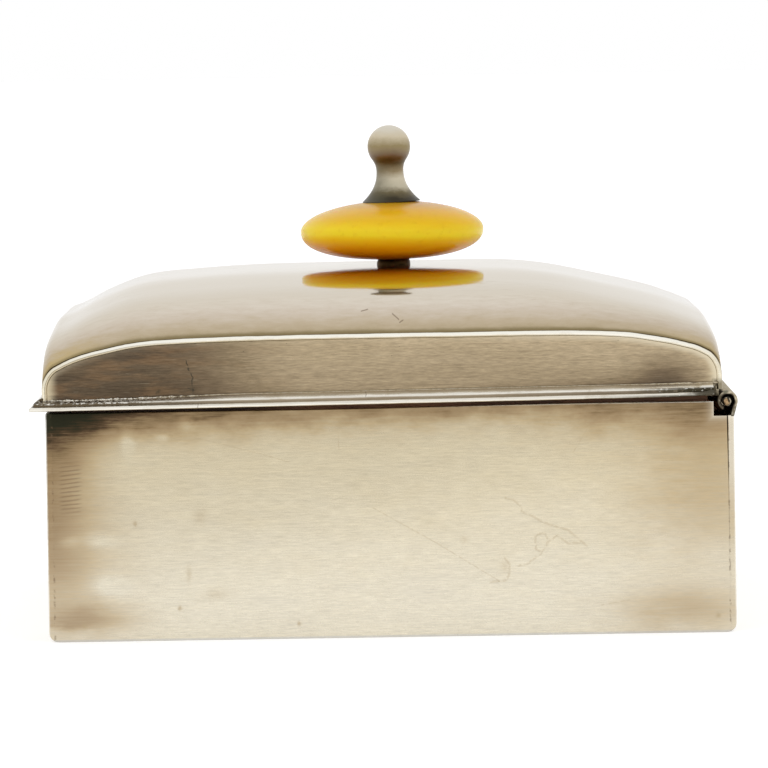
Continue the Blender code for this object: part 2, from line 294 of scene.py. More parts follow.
def addLamp(name, place, size, power):
    data = bpy.data.lights.new(name, "AREA")
    data.shape = "DISK"
    data.size = size
    data.energy = power
    lamp = addObject(name, data)
    lamp.visible_glossy = False
    lamp.location = place
    aim = Vector((0.0, 0.0, 0.5 * bodyTop)) - Vector(place)
    lamp.rotation_euler = aim.to_track_quat("-Z", "Y").to_euler()


def makeWorld():
    world = bpy.data.worlds.new("studio")
    bpy.context.scene.world = world
    world.use_nodes = True
    nodes = Nodes(world.node_tree)
    lit = {"Color": (1, 1, 1), "Strength": studioSettings["surround"]}
    surround = nodes.add("ShaderNodeBackground", {}, lit)
    backdrop = nodes.add("ShaderNodeBackground", {}, {"Color": (1, 1, 1), "Strength": 1.0})
    both = nodes.add("ShaderNodeMixShader", {}, {0: nodes.toCameraOrMirror(), 1: surround, 2: backdrop})
    nodes.plug(nodes.tree.nodes["World Output"].inputs["Surface"], both)


def makeFloor():  # its own glow makes the paper white in the picture, and it keeps the shadow
    paper = Finish("floor_paper")
    paper.set(BaseColor=studioSettings["floorPaper"], Roughness=0.9)
    shine = paper.add("ShaderNodeEmission", {}, {"Strength": studioSettings["floorGlow"]})
    dark = paper.add("ShaderNodeEmission", {}, {"Strength": 0.0})
    glow = paper.add("ShaderNodeMixShader", {}, {0: paper.toCameraOrMirror(), 1: dark, 2: shine})
    both = paper.add("ShaderNodeAddShader", {}, {0: Wire(paper, paper.shader.outputs[0]), 1: glow})
    paper.plug(paper.tree.nodes["Material Output"].inputs["Surface"], both)
    bm = bmesh.new()
    bmesh.ops.create_grid(bm, x_segments=1, y_segments=1, size=studioSettings["floorSize"])
    mesh = bpy.data.meshes.new("floor")
    bm.to_mesh(mesh)
    bm.free()
    mesh.materials.append(paper.material)
    floor = addObject("floor", mesh)


def makeStudio():
    bpy.context.scene.view_settings.view_transform = "Standard"
    makeWorld()
    makeFloor()
    for name in ("key", "fill"):
        addLamp(name + "_lamp", *[studioSettings[name + word] for word in ("Place", "Size", "Power")])
    print("studio")


makeCamera()
makeStudio()


# Mesh helpers

def addPiece(name, bm, finish, body, replaced, softAngle=35, turned=None):
    if turned is not None:
        bmesh.ops.transform(bm, matrix=turned, verts=bm.verts)
    bmesh.ops.remove_doubles(bm, verts=bm.verts, dist=weld)
    bmesh.ops.recalc_face_normals(bm, faces=bm.faces)
    mesh = bpy.data.meshes.new(name)
    bm.to_mesh(mesh)
    bm.free()
    mesh.shade_smooth()
    mesh.set_sharp_from_angle(angle=math.radians(softAngle))
    mesh.materials.append(finish)
    piece = addObject(name, mesh)
    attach(piece, body)
    if replaced:
        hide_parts(*replaced)


def arcPoints(centreY, centreZ, radius, start, end, steps):  # degrees from +Y towards +Z
    points = []
    for i in range(steps + 1):
        angle = math.radians(start + (end - start) * i / steps)
        points.append((centreY + radius * math.cos(angle), centreZ + radius * math.sin(angle)))
    return points


def startRing(bm, points):  # a closed loop of edges through a few points
    verts = [bm.verts.new(point) for point in points]
    return [bm.edges.new(pair) for pair in zip(verts, verts[1:] + verts[:1])]


def pulled(bm, edges, matrix):  # the edges extruded and carried by a matrix
    made = bmesh.ops.extrude_edge_only(bm, edges=edges)
    verts = [part for part in made["geom"] if isinstance(part, bmesh.types.BMVert)]
    bmesh.ops.transform(bm, matrix=matrix, verts=verts)
    return [part for part in made["geom"] if isinstance(part, bmesh.types.BMEdge)]


def closed(bm, *loops):
    for edges in loops:
        bmesh.ops.edgeloop_fill(bm, edges=edges)


def solidAlongX(points, start, end, cuts=0):  # an outline of (y, z) points run along X
    bm = bmesh.new()
    first = startRing(bm, [(start, y, z) for y, z in points])
    last = pulled(bm, first, Matrix.Translation((end - start, 0.0, 0.0)))
    closed(bm, first, last)
    bmesh.ops.recalc_face_normals(bm, faces=bm.faces)
    if cuts:
        runs = [e for e in bm.edges if abs(e.verts[0].co.x - e.verts[1].co.x) > weld]
        bmesh.ops.subdivide_edges(bm, edges=runs, cuts=cuts, use_grid_fill=True)
    return bm


def bevelled(bm, edges, offset, segments=3):
    look = {"segments": segments, "profile": 0.5, "affect": "EDGES", "material": -1, "clamp_overlap": True}
    bmesh.ops.bevel(bm, geom=edges, offset=offset, **look)


def turnedSolid(profile, steps):  # a closed (radius, height) profile spun about Z
    bm = bmesh.new()
    verts = [bm.verts.new((radius, 0.0, height)) for radius, height in profile]
    for pair in zip(verts, verts[1:] + verts[:1]):
        if max(vert.co.x for vert in pair) > weld:
            bm.edges.new(pair)
    geometry = bm.verts[:] + bm.edges[:]
    full = {"angle": math.tau, "steps": steps, "use_merge": True}
    bmesh.ops.spin(bm, geom=geometry, cent=(0, 0, 0), axis=(0, 0, 1), **full)
    return bm


def wobble(place, scale, seed):  # smooth noise from -1 to 1
    return noise.noise(Vector((place.x * scale + seed, place.y * scale, place.z * scale)))


# Body sizes

knuckleRadius = 1.3 * mm
bodySettings = {
    "bendRadius": 1.3 * mm,
    "edgeRound": 0.12 * mm,
    "cornerSteps": 10,
    "notchRoom": 0.54 * mm,
    "footHeight": 0.62 * mm,
    "endRise": (-12 * mm, 28 * mm, 0.28 * mm),  # the end panels' tops grow higher towards the hinge
    "openSeam": 0.16 * mm,
    "openSeamFoot": 19.0 * mm,
    "openSeamPower": 0.6,
    "sideSteps": 12,
}
backWallTop = hingeZ - knuckleRadius - bodySettings["footHeight"]
notchY = hingeY - knuckleRadius - bodySettings["notchRoom"]  # the step cut for the hinge


# Finishes: lengths in them are in mm

endX = halfLength / mm
sideY = halfDepth / mm
topZ = bodyTop / mm
jointY = (halfDepth - sheet) / mm  # the line between the end panel and the bent sheet
nearEnd = (endX - 1.0, endX - 0.4)  # the end that the photo shows; single marks are kept to it

silverTones = {
    "bodyHigh": (0.64, 0.56, 0.395),
    "bodyLow": (0.72, 0.665, 0.54),
    "tan": (0.44, 0.345, 0.215),
    "brown": (0.15, 0.098, 0.058),
    "black": (0.042, 0.04, 0.029),
    "bright": (0.9, 0.87, 0.79),
}

bodyFinish = {
    "stains": [
        ((-45.5, 29.6), (9.0, 3.6), 0.62),
        ((-45.0, 30.6), (23.0, 4.0), 0.42),
        ((-46.0, 23.0), (6.0, 8.0), 0.46),
        ((-42.0, 24.3), (3.5, 2.2), 0.14),
        ((-45.5, 11.5), (8.5, 9.0), 0.44),
        ((-40.5, 2.8), (6.5, 1.9), 0.34),
        ((40.5, 28.8), (12.0, 5.0), 0.36),
        ((41.0, 18.0), (9.0, 8.0), 0.26),
        ((38.5, 3.2), (9.0, 3.2), 0.32),
    ],
    "pale": [
        ((-34.5, 25.7), (0.8, 1.6), 0.26),
        ((-29.6, 26.9), (1.1, 0.6), 0.2),
        ((-26.2, 28.4), (1.3, 0.9), 0.28),
        ((-38.0, 13.4), (2.6, 1.0), 0.2),
        ((-37.0, 7.4), (2.4, 1.5), 0.22),
        ((-42.2, 13.0), (1.4, 0.8), 0.16),
    ],
    "smudges": [
        ((-25.0, 16.2), (0.9, 1.0), 0.4),
        ((-33.5, 15.4), (0.3, 0.35), 0.9),
        ((-26.6, 8.7), (0.35, 1.0), 0.45),
        ((-23.1, 6.0), (1.3, 0.7), 0.3),
        ((9.5, 12.7), (0.5, 0.5), 0.4),
        ((14.7, 9.0), (0.6, 0.8), 0.4),
        ((-12.3, 2.0), (0.25, 0.3), 0.9),
        ((-27.8, 4.3), (0.25, 0.3), 0.9),
        ((-40.3, 2.2), (0.3, 0.3), 0.9),
        ((42.6, 2.2), (0.3, 0.35), 0.9),
    ],
    "darkening": [  # what the silver's colour is multiplied by, from full colour to black
        (0.0, (1.0, 1.0, 1.0)),
        (0.2, (0.76, 0.68, 0.575)),
        (0.3, (0.62, 0.52, 0.42)),
        (0.42, (0.48, 0.385, 0.295)),
        (0.5, (0.36, 0.285, 0.21)),
        (0.6, (0.22, 0.16, 0.125)),
        (0.72, (0.105, 0.08, 0.062)),
        (0.94, (0.042, 0.048, 0.04)),
    ],
    "lines": [(0.25, (0.93, 0.93, 0.94)), (0.75, (1.05, 1.045, 1.03))],
    "underRim": (0.5, 3.1),
    "fileMarks": {
        "y": (-43.6, -42.8, -41.1, -40.1),
        "z": (16.0, 18.0, 22.4, 24.4),
        "pitch": 0.55,
        "rise": 0.1,
    },
    "scratches": [
        [
            (15.0, 18.0), (15.9, 17.8), (16.9, 17.0), (17.1, 16.2), (18.6, 15.5),
            (20.0, 14.7), (21.7, 14.1), (23.1, 13.7), (25.5, 11.6),
        ],
        [(24.6, 12.0), (23.1, 11.9), (21.7, 13.0), (20.4, 12.1), (19.6, 10.7), (17.6, 9.3), (16.5, 9.1)],
        [(20.4, 12.6), (20.1, 13.3), (19.5, 13.3), (18.8, 12.9), (18.9, 11.2), (19.4, 11.0)],
        [(14.8, 10.1), (15.4, 9.3), (15.3, 7.9), (14.8, 7.2), (12.7, 7.0)],
    ],
    "hairlines": [
        [(-2.5, 17.1), (6.0, 12.2), (14.1, 7.1)],
        [(-26.0, 26.7), (-17.2, 24.4), (-13.3, 23.2)],
        [(-6.8, 27.4), (-6.7, 24.7)],
        [(23.9, 23.9), (25.7, 26.8)],
        [(27.3, 3.8), (31.0, 4.4)],
    ],
}


def brushTint(depth):  # light and dark of fine brushed lines
    return [(0.3, [1 - depth] * 3), (0.7, [1 + depth] * 3)]


def makeBodySilver():
    finish = Finish("body_silver")
    place = finish.place()
    x, y, z = finish.split(place)
    near = x.band(*nearEnd)
    ends = abs(x).band(endX - 10, endX - 0.5)
    streaks = finish.grain((0.14, 0.14, 1.1), 6, 0.62)
    clouds = finish.grain((0.16, 0.16, 0.3), 5, 0.6)
    lines = finish.grain((0.1, 0.1, 3.6), 4, 0.62)
    brushed = finish.grain((0.5, 0.5, 6.0), 3, 0.7)

    # Darkening: patches by place on the ends, a darker band under the rim and loose clouds elsewhere
    softY = y + streaks * 5.0 + clouds * 4.0
    softZ = z + clouds * 3.0 + streaks * 0.8
    depth, reach = bodyFinish["underRim"]
    underRim = (((softZ - (topZ + 0.6)) / reach).power(2) * -1.0).exponent() * depth
    underRim = underRim * (1 - y.band(24.0, 41.0) * 0.45)
    patches = finish.stains(softY, softZ, bodyFinish["stains"]) * ends
    corners = (abs(x).band(endX - 20, endX + 0.5) * 0.35 + 0.12) * (1 - ends)
    loose = (clouds.band(0.0, 0.3) * 0.09 + corners * (streaks * 0.6 + clouds * 0.5 + 0.5)) * (1 - ends)
    pale = finish.stains(y + clouds * 2, z + clouds * 1.5, bodyFinish["pale"]) * near
    dark = underRim * (clouds * 1.2 + 1.0) + patches + loose - pale
    dark = dark * (1 + lines * 0.8 + streaks * 0.6 + brushed * 0.7) + clouds * 0.05
    strip = y.band(jointY, jointY + 0.1) * z.band(14.0, 24.0) * ends
    dark = dark * (1 - strip * 0.9)
    low = (z + clouds * 8).band(26.0, 2.0)
    finish.colour = finish.blend(low, silverTones["bodyHigh"], silverTones["bodyLow"])
    finish.times(finish.ramp(dark * 0.72, bodyFinish["darkening"]))
    finish.times(finish.ramp(lines + streaks * 0.5 + 0.5, bodyFinish["lines"]))
    finish.times(finish.ramp(brushed + 0.5, brushTint(0.1)))
    finish.over(strip * 0.75, (0.66, 0.6, 0.5))

    # Marks: file strokes, scratches, smudges, pits and worn edges
    marks = bodyFinish["fileMarks"]
    rows = ((z - y * marks["rise"] + streaks * 0.5) / marks["pitch"]).fract()
    inside = y.within(*marks["y"]) * z.within(*marks["z"])
    filed = abs(rows - 0.5).band(0.3, 0.06) * inside * near
    shake = finish.noise(place, 1.7, 3, 0.6) - 0.5
    broken = (shake + 0.5).band(0.34, 0.56) * near
    scratches = finish.strokes(y + shake * 0.5, z - shake * 0.5, bodyFinish["scratches"], 0.2) * broken
    hair = finish.strokes(y + shake * 0.2, z - shake * 0.2, bodyFinish["hairlines"], 0.1) * broken
    smudges = finish.stains(y + shake * 0.8, z + shake * 0.8, bodyFinish["smudges"]) * near
    dots = finish.specks(place, 0.24, 0.045, 0.1)
    flecks = finish.specks(finish.place((0.6, 0.6, 1.2), (3.0, 7.0, 2.0)), 0.6, 0.05, 0.12)
    finish.over(filed * 0.42, "brown")
    finish.over(smudges.least(1.0) * 0.8, "tan")
    finish.over(scratches * 0.34, "tan")
    finish.over(hair * 0.34, "tan")
    finish.over(dots * 0.55, "brown")
    finish.over(flecks * 0.35, "bright")

    # Joint between the end panel and the bent sheet, with dirt in it, a painted highlight along the bottom
    # bend, and edges rubbed bright with a painted highlight on them
    joint = abs(abs(y) - jointY).band(0.2, 0.04)
    grime = finish.noise(place, 1.3, 4, 0.65).band(0.5, 0.64)
    atEnd = abs(x).band(endX - 0.25, endX - 0.1)
    finish.over(joint * grime * atEnd * 0.55, "brown")
    # painted highlight: a bluish-grey line along the bottom bend
    finish.over(z.band(0.42, 0.15) * 0.55, (0.5, 0.51, 0.53))
    start, end, rise = [size / mm for size in bodySettings["endRise"]]
    lift = z - y.band(start, end) * ends * rise
    # painted highlight with wear: the top edge and the outer side edges are painted bright where their
    # bevels catch the light
    rubbedAndHighlit = lift.band(topZ - 0.16, topZ - 0.07) * (y + shake * 20).band(0.0, 24.0)
    stepY, stepZ = notchY / mm, backWallTop / mm
    # painted highlight with wear: pale beside the notch, where its bevelled edges catch the light
    besideNotch = ((stepY - y).most(stepZ - z).most(0.0) * -2.6).exponent() * near
    besideNotch = besideNotch * y.band(stepY - 2.2, stepY - 0.6) * z.band(stepZ - 2.0, stepZ - 0.5)
    finish.over(besideNotch * 0.75, (0.8, 0.735, 0.6))
    rubbedAndHighlit = rubbedAndHighlit.most(abs(y).band(sideY - 0.2, sideY - 0.08) * atEnd * 0.6)
    finish.over(rubbedAndHighlit.least(1.0) * (0.95 - grime * 0.35), "bright")
    rough = 0.27 + lines * 0.12 + dark.most(0.0).least(1.0) * 0.16 + shake * 0.05
    dents = finish.noise(finish.place(centre=(11, 4, 9)), 0.11, 2, 0.5)
    height = lines * 0.35 + dents * 6.0 - scratches * 0.5 - hair * 0.4 - filed * 0.6 - dots * 0.6
    return finish.surface(rough, height, 0.012 * mm)


lidFinish = {
    "dome": [  # painted reflection: pale on the level top, darker brown towards the steep edge, which mirrors the darker surroundings in front
        (0.08, (0.88, 0.845, 0.79)),
        (0.35, (0.81, 0.76, 0.685)),
        (0.6, (0.65, 0.57, 0.475)),
        (0.8, (0.53, 0.44, 0.315)),
        (0.95, (0.45, 0.365, 0.235)),
    ],
    "domeHairs": [[(0.65, 42.6), (1.45, 41.9)], [(1.6, 41.5), (2.0, 41.8)], [(-3.4, 43.0), (-2.6, 43.2)]],
    "domeEdge": (0.185, 0.14, 0.06),
    "edgeTint": (0.76, 0.72, 0.65),
    "panelPale": (0.42, 0.33, 0.21),
    "panelMid": (0.345, 0.268, 0.165),
    "panelRim": (0.64, 0.56, 0.4),
    "panelStains": [
        ((36.2, 33.6), (3.6, 2.4), 0.46),
        ((32.0, 31.6), (8.0, 1.7), 0.56),
        ((22.0, 31.2), (16.0, 1.2), 0.46),
        ((-32.0, 38.6), (9.0, 1.2), 0.2),
        ((-5.0, 31.2), (30.0, 0.7), 0.18),
    ],
    "panelTarnish": [
        (0.0, (1.1, 1.11, 1.13)),
        (0.35, (0.66, 0.64, 0.62)),
        (0.62, (0.42, 0.39, 0.385)),
        (0.95, (0.22, 0.205, 0.215)),
    ],
    "panelHairs": [
        [(-26.4, 37.2), (-26.1, 36.0), (-25.6, 35.0), (-25.8, 33.9)],
        [(-26.2, 33.6), (-25.4, 33.3)],
    ],
    "panelSpots": [((-25.6, 33.4), (0.28, 0.3), 1.0), ((-30.2, 33.2), (0.25, 0.25), 0.8)],
}


def lidSpot(finish):  # x, y and z in mm in the lid's square frame, before the lid is seated
    turned = finish.place((1, 1, 1), (0.0, hingeY, hingeZ), (lidSit, 0.0, 0.0))
    sockets = {"Vector": turned, "Location": (0.0, hingeY / mm, hingeZ / mm)}
    return finish.split(finish.add("ShaderNodeMapping", {}, sockets))


def makeDomeSilver():
    finish = Finish("lid_silver")
    x, y, z = lidSpot(finish)
    place = finish.place()
    mottle = finish.grain((0.7, 0.3, 0.8), 6, 0.68)
    fine = finish.grain((0.5, 0.5, 2.4), 5, 0.7)
    clouds = finish.noise(place, 0.05, 3, 0.5) - 0.5
    steep = finish.attribute("steep")
    level = steep + mottle * 0.3 + fine * 0.12
    # painted reflection: colour by steepness, pale on the level top and brown at the steep edge
    finish.colour = finish.ramp(level, lidFinish["dome"])
    edge = (steep + mottle * 0.05).band(0.9, 0.985)
    finish.over(edge * 0.8, lidFinish["domeEdge"])
    corner = abs(y + 1.0).band(34.0, 43.0) * (steep + mottle * 0.3).band(0.55, 0.9) * (1 - edge * 0.6)
    corner = corner * (0.45 + y.band(0.0, -30.0) * 0.45)
    finish.over(corner * (mottle * 2 + 0.7).least(1.0) * 0.8, (0.56, 0.42, 0.17))
    finish.over(z.band(38.5, 33.0) * (mottle * 2 + 0.6).most(0.0) * 0.4, "tan")
    stain = (mottle + clouds * 0.6).band(0.1, 0.26)
    finish.over(stain * 0.16, "tan")
    shake = finish.noise(place, 1.5, 3, 0.6) - 0.5
    near = x.band(endX - 10, endX - 8)
    hairs = finish.strokes(y + shake * 0.2, z - shake * 0.2, lidFinish["domeHairs"], 0.12) * near
    dots = finish.specks(place, 0.22, 0.045, 0.1)
    lines = finish.noise(finish.place((3.2, 0.1, 3.2)), 1.0, 3, 0.5).band(0.66, 0.74)
    finish.over(dots * 0.55, "brown")
    finish.over(hairs * 0.6, "brown")
    finish.over(lines * 0.1, "tan")
    rough = 0.085 + level.band(0.4, 1.0) * 0.17 + mottle * 0.05 + stain * 0.05
    waves = finish.noise(place, 0.09, 2, 0.5)
    height = waves * 4.0 + mottle * 0.25 - dots * 0.5 - hairs * 0.5 - lines * 0.1
    finish.set(SpecularTint=lidFinish["edgeTint"])
    return finish.surface(rough, height, 0.01 * mm)


def makePanelSilver():
    finish = Finish("end_panel_silver")
    x, y, z = lidSpot(finish)
    place = finish.place()
    broad = finish.grain((0.3, 0.045, 0.3), 5, 0.62)
    streaks = finish.grain((0.2, 0.055, 1.5), 7, 0.66)
    fine = finish.grain((0.4, 0.13, 4.2), 4, 0.66)
    brushed = finish.grain((0.5, 0.6, 5.5), 4, 0.7)
    front = (y + broad * 8 + streaks * 6).band(-9.0, -33.5)
    stains = finish.stains(y + broad * 4, z + broad * 1.5, lidFinish["panelStains"])
    lower = (z + broad * 3 + streaks * 1.5).band(39.5, 32.0)
    dark = front * 0.72 + stains + broad * 0.36 + streaks * 0.5 + fine * 0.28
    dark = dark + lower * 0.2 - y.band(39.0, 43.5) * 0.22
    finish.colour = finish.blend(broad.band(-0.2, 0.2), lidFinish["panelMid"], lidFinish["panelPale"])
    finish.times(finish.ramp(dark, lidFinish["panelTarnish"]))
    brass = finish.noise(finish.place((0.3, 0.12, 0.7)), 1.0, 4, 0.6).band(0.46, 0.68)
    finish.over(brass * front * 0.34, (0.25, 0.145, 0.07))
    finish.times(finish.ramp(brushed + 0.5, brushTint(0.26)))
    threads = finish.noise(finish.place((0.5, 0.3, 7.0), (5.0, 3.0, 1.0)), 1.0, 3, 0.6).band(0.64, 0.76)
    finish.over(threads * 0.3, lidFinish["panelRim"])

    # The rim: tan, rubbed and painted with a sheen where the panel turns up to its bead, widest at both
    # corners; a painted highlight glows along the fillet under the bead
    rim = finish.attribute("rim")
    rimWearAndSheen = (rim + streaks * 0.4 + brushed * 0.2).band(0.35, 1.0)
    corner = z.band(37.5, 33.5).most(abs(y + 1.0).band(36.0, 43.0))
    right = y.band(30.0, 44.0)
    finish.over(rimWearAndSheen * (0.1 + corner * 0.2 + right * 0.15), lidFinish["panelRim"])
    inward = 44.45 - abs(y + 0.95)
    # painted sheen with wear: a pale beige band where the panel curves up beside the bead's legs
    leg = (inward + streaks + brushed * 0.4).band(2.25, 0.55)
    finish.over(leg * 0.82, (0.62, 0.53, 0.355))
    # painted highlight: a pale glow along the fillet under the bead
    glow = (rim + streaks * 0.4).band(0.3, 0.95) * y.band(4.0, 34.0) * 0.7
    finish.over(glow, (0.7, 0.62, 0.46))
    shake = finish.noise(place, 1.6, 3, 0.6) - 0.5
    near = x.band(*nearEnd)
    patchy = (shake + 0.5).band(0.3, 0.5)
    hairs = finish.strokes(y + shake * 0.7, z - shake * 0.5, lidFinish["panelHairs"], 0.11) * near * patchy
    spot = finish.stains(y + shake, z + shake, lidFinish["panelSpots"]) * near
    dots = finish.specks(place, 0.5, 0.05, 0.14)
    flecks = finish.specks(finish.place((0.6, 0.6, 1.3), (3.0, 7.0, 2.0)), 0.6, 0.05, 0.16)
    finish.over(dots * 0.5, "black")
    finish.over(hairs.most(spot) * 0.75, "black")
    finish.over(flecks * 0.35, lidFinish["panelRim"])
    broken = y.band(42.0, 42.3) * (z + shake * 1.6).band(33.5, 32.7) * near
    finish.over(broken * patchy * 0.9, (0.075, 0.06, 0.035))
    rough = 0.3 + streaks * 0.16 + fine * 0.1
    height = streaks * 0.6 + fine * 0.6 - dots * 0.6 - hairs
    return finish.surface(rough, height, 0.014 * mm)


def makeTrimSilver():  # the rim moulding: bright on its edges, dark with painted shade and tarnish in its groove and at both ends
    finish = Finish("trim_silver")
    place = finish.place()
    x, y, z = lidSpot(finish)
    height = z - lidRim / mm
    runs = finish.grain((0.12, 0.12, 7.0), 5, 0.6)
    patches = finish.grain((0.28, 0.28, 0.9), 5, 0.65)
    lumps = finish.noise(place, 1.5, 4, 0.7)
    near = x.band(endX - 2, endX - 0.4)
    finish.colour = finish.blend((runs + 0.5).band(0.35, 0.75), (0.7, 0.665, 0.585), silverTones["bright"])
    finish.over(patches.band(0.06, 0.28) * 0.45, "tan")
    # painted shade with tarnish: dark in the cove, under the nose and at the foot, set by the profile
    dirt = finish.attribute("dirt")
    ends = (y + patches * 14).band(-14.0, -40.0).most((y + patches * 12).band(8.0, 40.0) * 0.55)
    level = dirt + patches * 0.45 + runs * 0.3 + (dirt.band(0.02, 0.1) * 0.22) * ends
    grime = level.band(0.22, 0.85)
    grooveShadeAndTarnish = finish.blend(ends, (0.3, 0.235, 0.155), (0.085, 0.062, 0.036))
    finish.over(grime * 0.95, grooveShadeAndTarnish)

    # Front corner: the band goes dull and speckled with solder
    frosted = height.band(0.6, 0.66) * (y + patches * 8 + lumps * 8).band(-19.0, -37.0) * near
    finish.over(frosted * 0.9, (0.13, 0.098, 0.058))
    flakes = finish.noise(finish.place((1, 1, 1.6)), 1.9, 4, 0.7) + y.band(-44.0, -26.0) * 0.12
    flakes = flakes.band(0.52, 0.6) * height.band(0.8, 0.88)
    finish.over(frosted * flakes * 0.9, "bright")

    # Hinge end: the nose thins out into black solder
    torn = (y + patches * 6 + lumps * 4).band(24.0, 41.0) * near
    last = (y + lumps * 3).band(38.5, 42.5) * height.band(1.25, 1.0)
    under = torn * height.band(0.42, 0.1).most(last)
    clogged = (y + lumps * 6).band(33.0, 43.0) * near * height.within(0.5, 0.62, 1.05, 1.2)
    cap = y.band(trimEnd / mm - 0.16, trimEnd / mm - 0.04)
    black = under.most(clogged * lumps.band(0.3, 0.48)).most(cap * 0.85)
    finish.over(black * 0.95, (0.045, 0.038, 0.022))
    bits = finish.noise(finish.place((0.8, 0.8, 1.4), (2.0, 1.0, 4.0)), 2.4, 3, 0.6).band(0.62, 0.68)
    finish.over(black * bits * 0.8, (0.7, 0.69, 0.64))
    nicks = [[(-3.1, 1.02), (-3.0, 1.6)], [(-25.0, 0.1), (-24.9, 0.55)]]
    marks = finish.strokes(y + patches * 0.6, height, nicks, 0.09)
    finish.over(marks * near * 0.45, "brown")
    rough = 0.2 + patches * 0.14 + grime * 0.2
    relief = runs * 0.4 + patches * 1.2 + black * lumps * 3 + frosted * flakes * 2
    return finish.surface(rough, relief, 0.02 * mm)


def makeBeadSilver():  # bright above as a painted highlight, fading with painted shade to the panel's tan below and down both legs
    finish = Finish("bead_silver")
    place = finish.place()
    y, z = finish.split(place)[1:]
    runs = finish.grain((0.12, 0.12, 5.0), 5, 0.6)
    patches = finish.noise(place, 0.5, 5, 0.65) - 0.5
    level = finish.attribute("under")
    under = level + runs * 0.18 + patches * 0.2
    finish.colour = finish.blend(patches.band(0.05, 0.25) * 0.2, (0.9, 0.875, 0.79), (0.66, 0.59, 0.45))
    finish.over(z.band(38.6, 35.0) * (runs + 0.75), (0.74, 0.665, 0.49))
    # painted shade: the bead's underside turns tan near the corners and along the arch
    shoulder = abs(y + 1.0).band(30.0, 41.0) * (0.85 - y.band(-20.0, 20.0) * 0.35)
    finish.over(shoulder * under.band(0.35, 0.8), (0.6, 0.52, 0.36))
    fade = under.band(0.4, 0.84) * (1 - y.band(10.0, 34.0) * 0.6)
    finish.over(fade, (0.52, 0.435, 0.29))
    line = level.within(0.46, 0.52, 0.58, 0.64) * (y + patches * 6).band(-24.0, -38.0)
    foot = (z + patches * 1.5).band(33.6, 32.4) * y.band(20.0, 30.0)
    finish.over(foot * 0.85, (0.16, 0.13, 0.075))
    finish.over(line * 0.75, (0.2, 0.165, 0.105))
    finish.over(under.band(0.12, 0.02) * 0.8, (0.26, 0.2, 0.1))
    rough = 0.2 + patches * 0.12
    height = runs * 0.3 + patches * 0.8
    return finish.surface(rough, height, 0.012 * mm)


def makeSolderSilver():
    finish = Finish("solder")
    y = finish.split(finish.place())[1]
    lumps = finish.noise(finish.place((1, 1, 1.4)), 3.0, 5, 0.65)
    stops = [(0.38, (0.09, 0.068, 0.042)), (0.47, (0.46, 0.41, 0.32)), (0.58, (0.86, 0.83, 0.76))]
    finish.colour = finish.ramp(lumps, stops)
    finish.over((y + lumps * 8).band(-32.0, -16.0) * 0.8, (0.46, 0.385, 0.265))
    return finish.surface(0.28 + lumps * 0.2, lumps, 0.05 * mm)


def makeHingeSilver():
    finish = Finish("hinge_silver")
    place = finish.place()
    x, y, z = finish.split(finish.place(centre=(0, hingeY, hingeZ)))
    blotches = finish.noise(place, 0.7, 4, 0.6)
    around = finish.noise(finish.place((0.25, 2.5, 2.5)), 1.0, 4, 0.6)
    stops = [(0.34, (0.27, 0.22, 0.14)), (0.5, (0.46, 0.4, 0.29)), (0.66, (0.66, 0.6, 0.47))]
    finish.colour = finish.ramp(blotches * 0.6 + around * 0.4, stops)

    # Its ends: only the top and outer side of the barrel are rubbed, the rest is clogged
    ends = abs(x).band(endX - 3, endX - 1)
    inner = (y + blotches * 0.6).band(0.35, -0.55) * z.band(1.2, 0.55)
    foot = (z + blotches * 0.8).band(0.15, -0.55) * (y + blotches).band(-0.6, 0.6)
    clogged = inner.most(foot * 0.8) * ends
    finish.over(clogged * 0.92, (0.06, 0.045, 0.026))
    bits = finish.noise(place, 3.0, 3, 0.6).band(0.56, 0.64)
    finish.over(clogged * bits * 0.45, (0.62, 0.58, 0.47))
    lump = ((y + 0.3).power(2) + (z - 1.35).power(2)).power(0.5) + blotches * 0.5
    finish.over(lump.band(0.85, 0.45) * ends * 0.8, (0.085, 0.092, 0.062))
    # painted shade: near-black inside the bore
    finish.over(finish.attribute("dirt").band(0.15, 0.9), (0.022, 0.017, 0.011))
    finish.set(SpecularTint=(0.6, 0.56, 0.46))
    return finish.surface(0.26 + blotches * 0.2, blotches * 1.5 + around * 0.4, 0.02 * mm)


def makePinSilver():  # the pin's end: a tan core in a pale ring of painted highlight, with a dark split and painted shade round its edge
    finish = Finish("pin_metal")
    place = finish.place((1, 1, 1), (0, hingeY, hingeZ))
    y, z = finish.split(place)[1:]
    smears = finish.noise(place, 1.8, 4, 0.6) - 0.5
    out = ((y + 0.16).power(2) + (z + 0.14).power(2)).power(0.5) + smears * 0.16
    ring = out.band(0.44, 0.5)
    finish.colour = finish.blend((smears + 0.5).band(0.3, 0.7), (0.3, 0.19, 0.095), (0.52, 0.37, 0.21))
    # painted highlight: the pale ring
    finish.over(ring, (0.6, 0.53, 0.39))
    # painted shade: dark round the edge, where the pin sits back in its bore
    finish.over(out.band(0.56, 0.66), (0.045, 0.038, 0.026))
    split = abs(y - 0.16 + z * 0.3 + smears * 0.2).band(0.15, 0.06) * z.band(-0.35, -0.1)
    finish.over(split * 0.95, "black")
    return finish.surface(0.45, smears - split * 3 - ring * 2, 0.03 * mm)


cedarFinish = {
    "early": (0.4, 0.165, 0.07),
    "late": (0.205, 0.07, 0.03),
    "ringsPerBoard": 0.55,
}


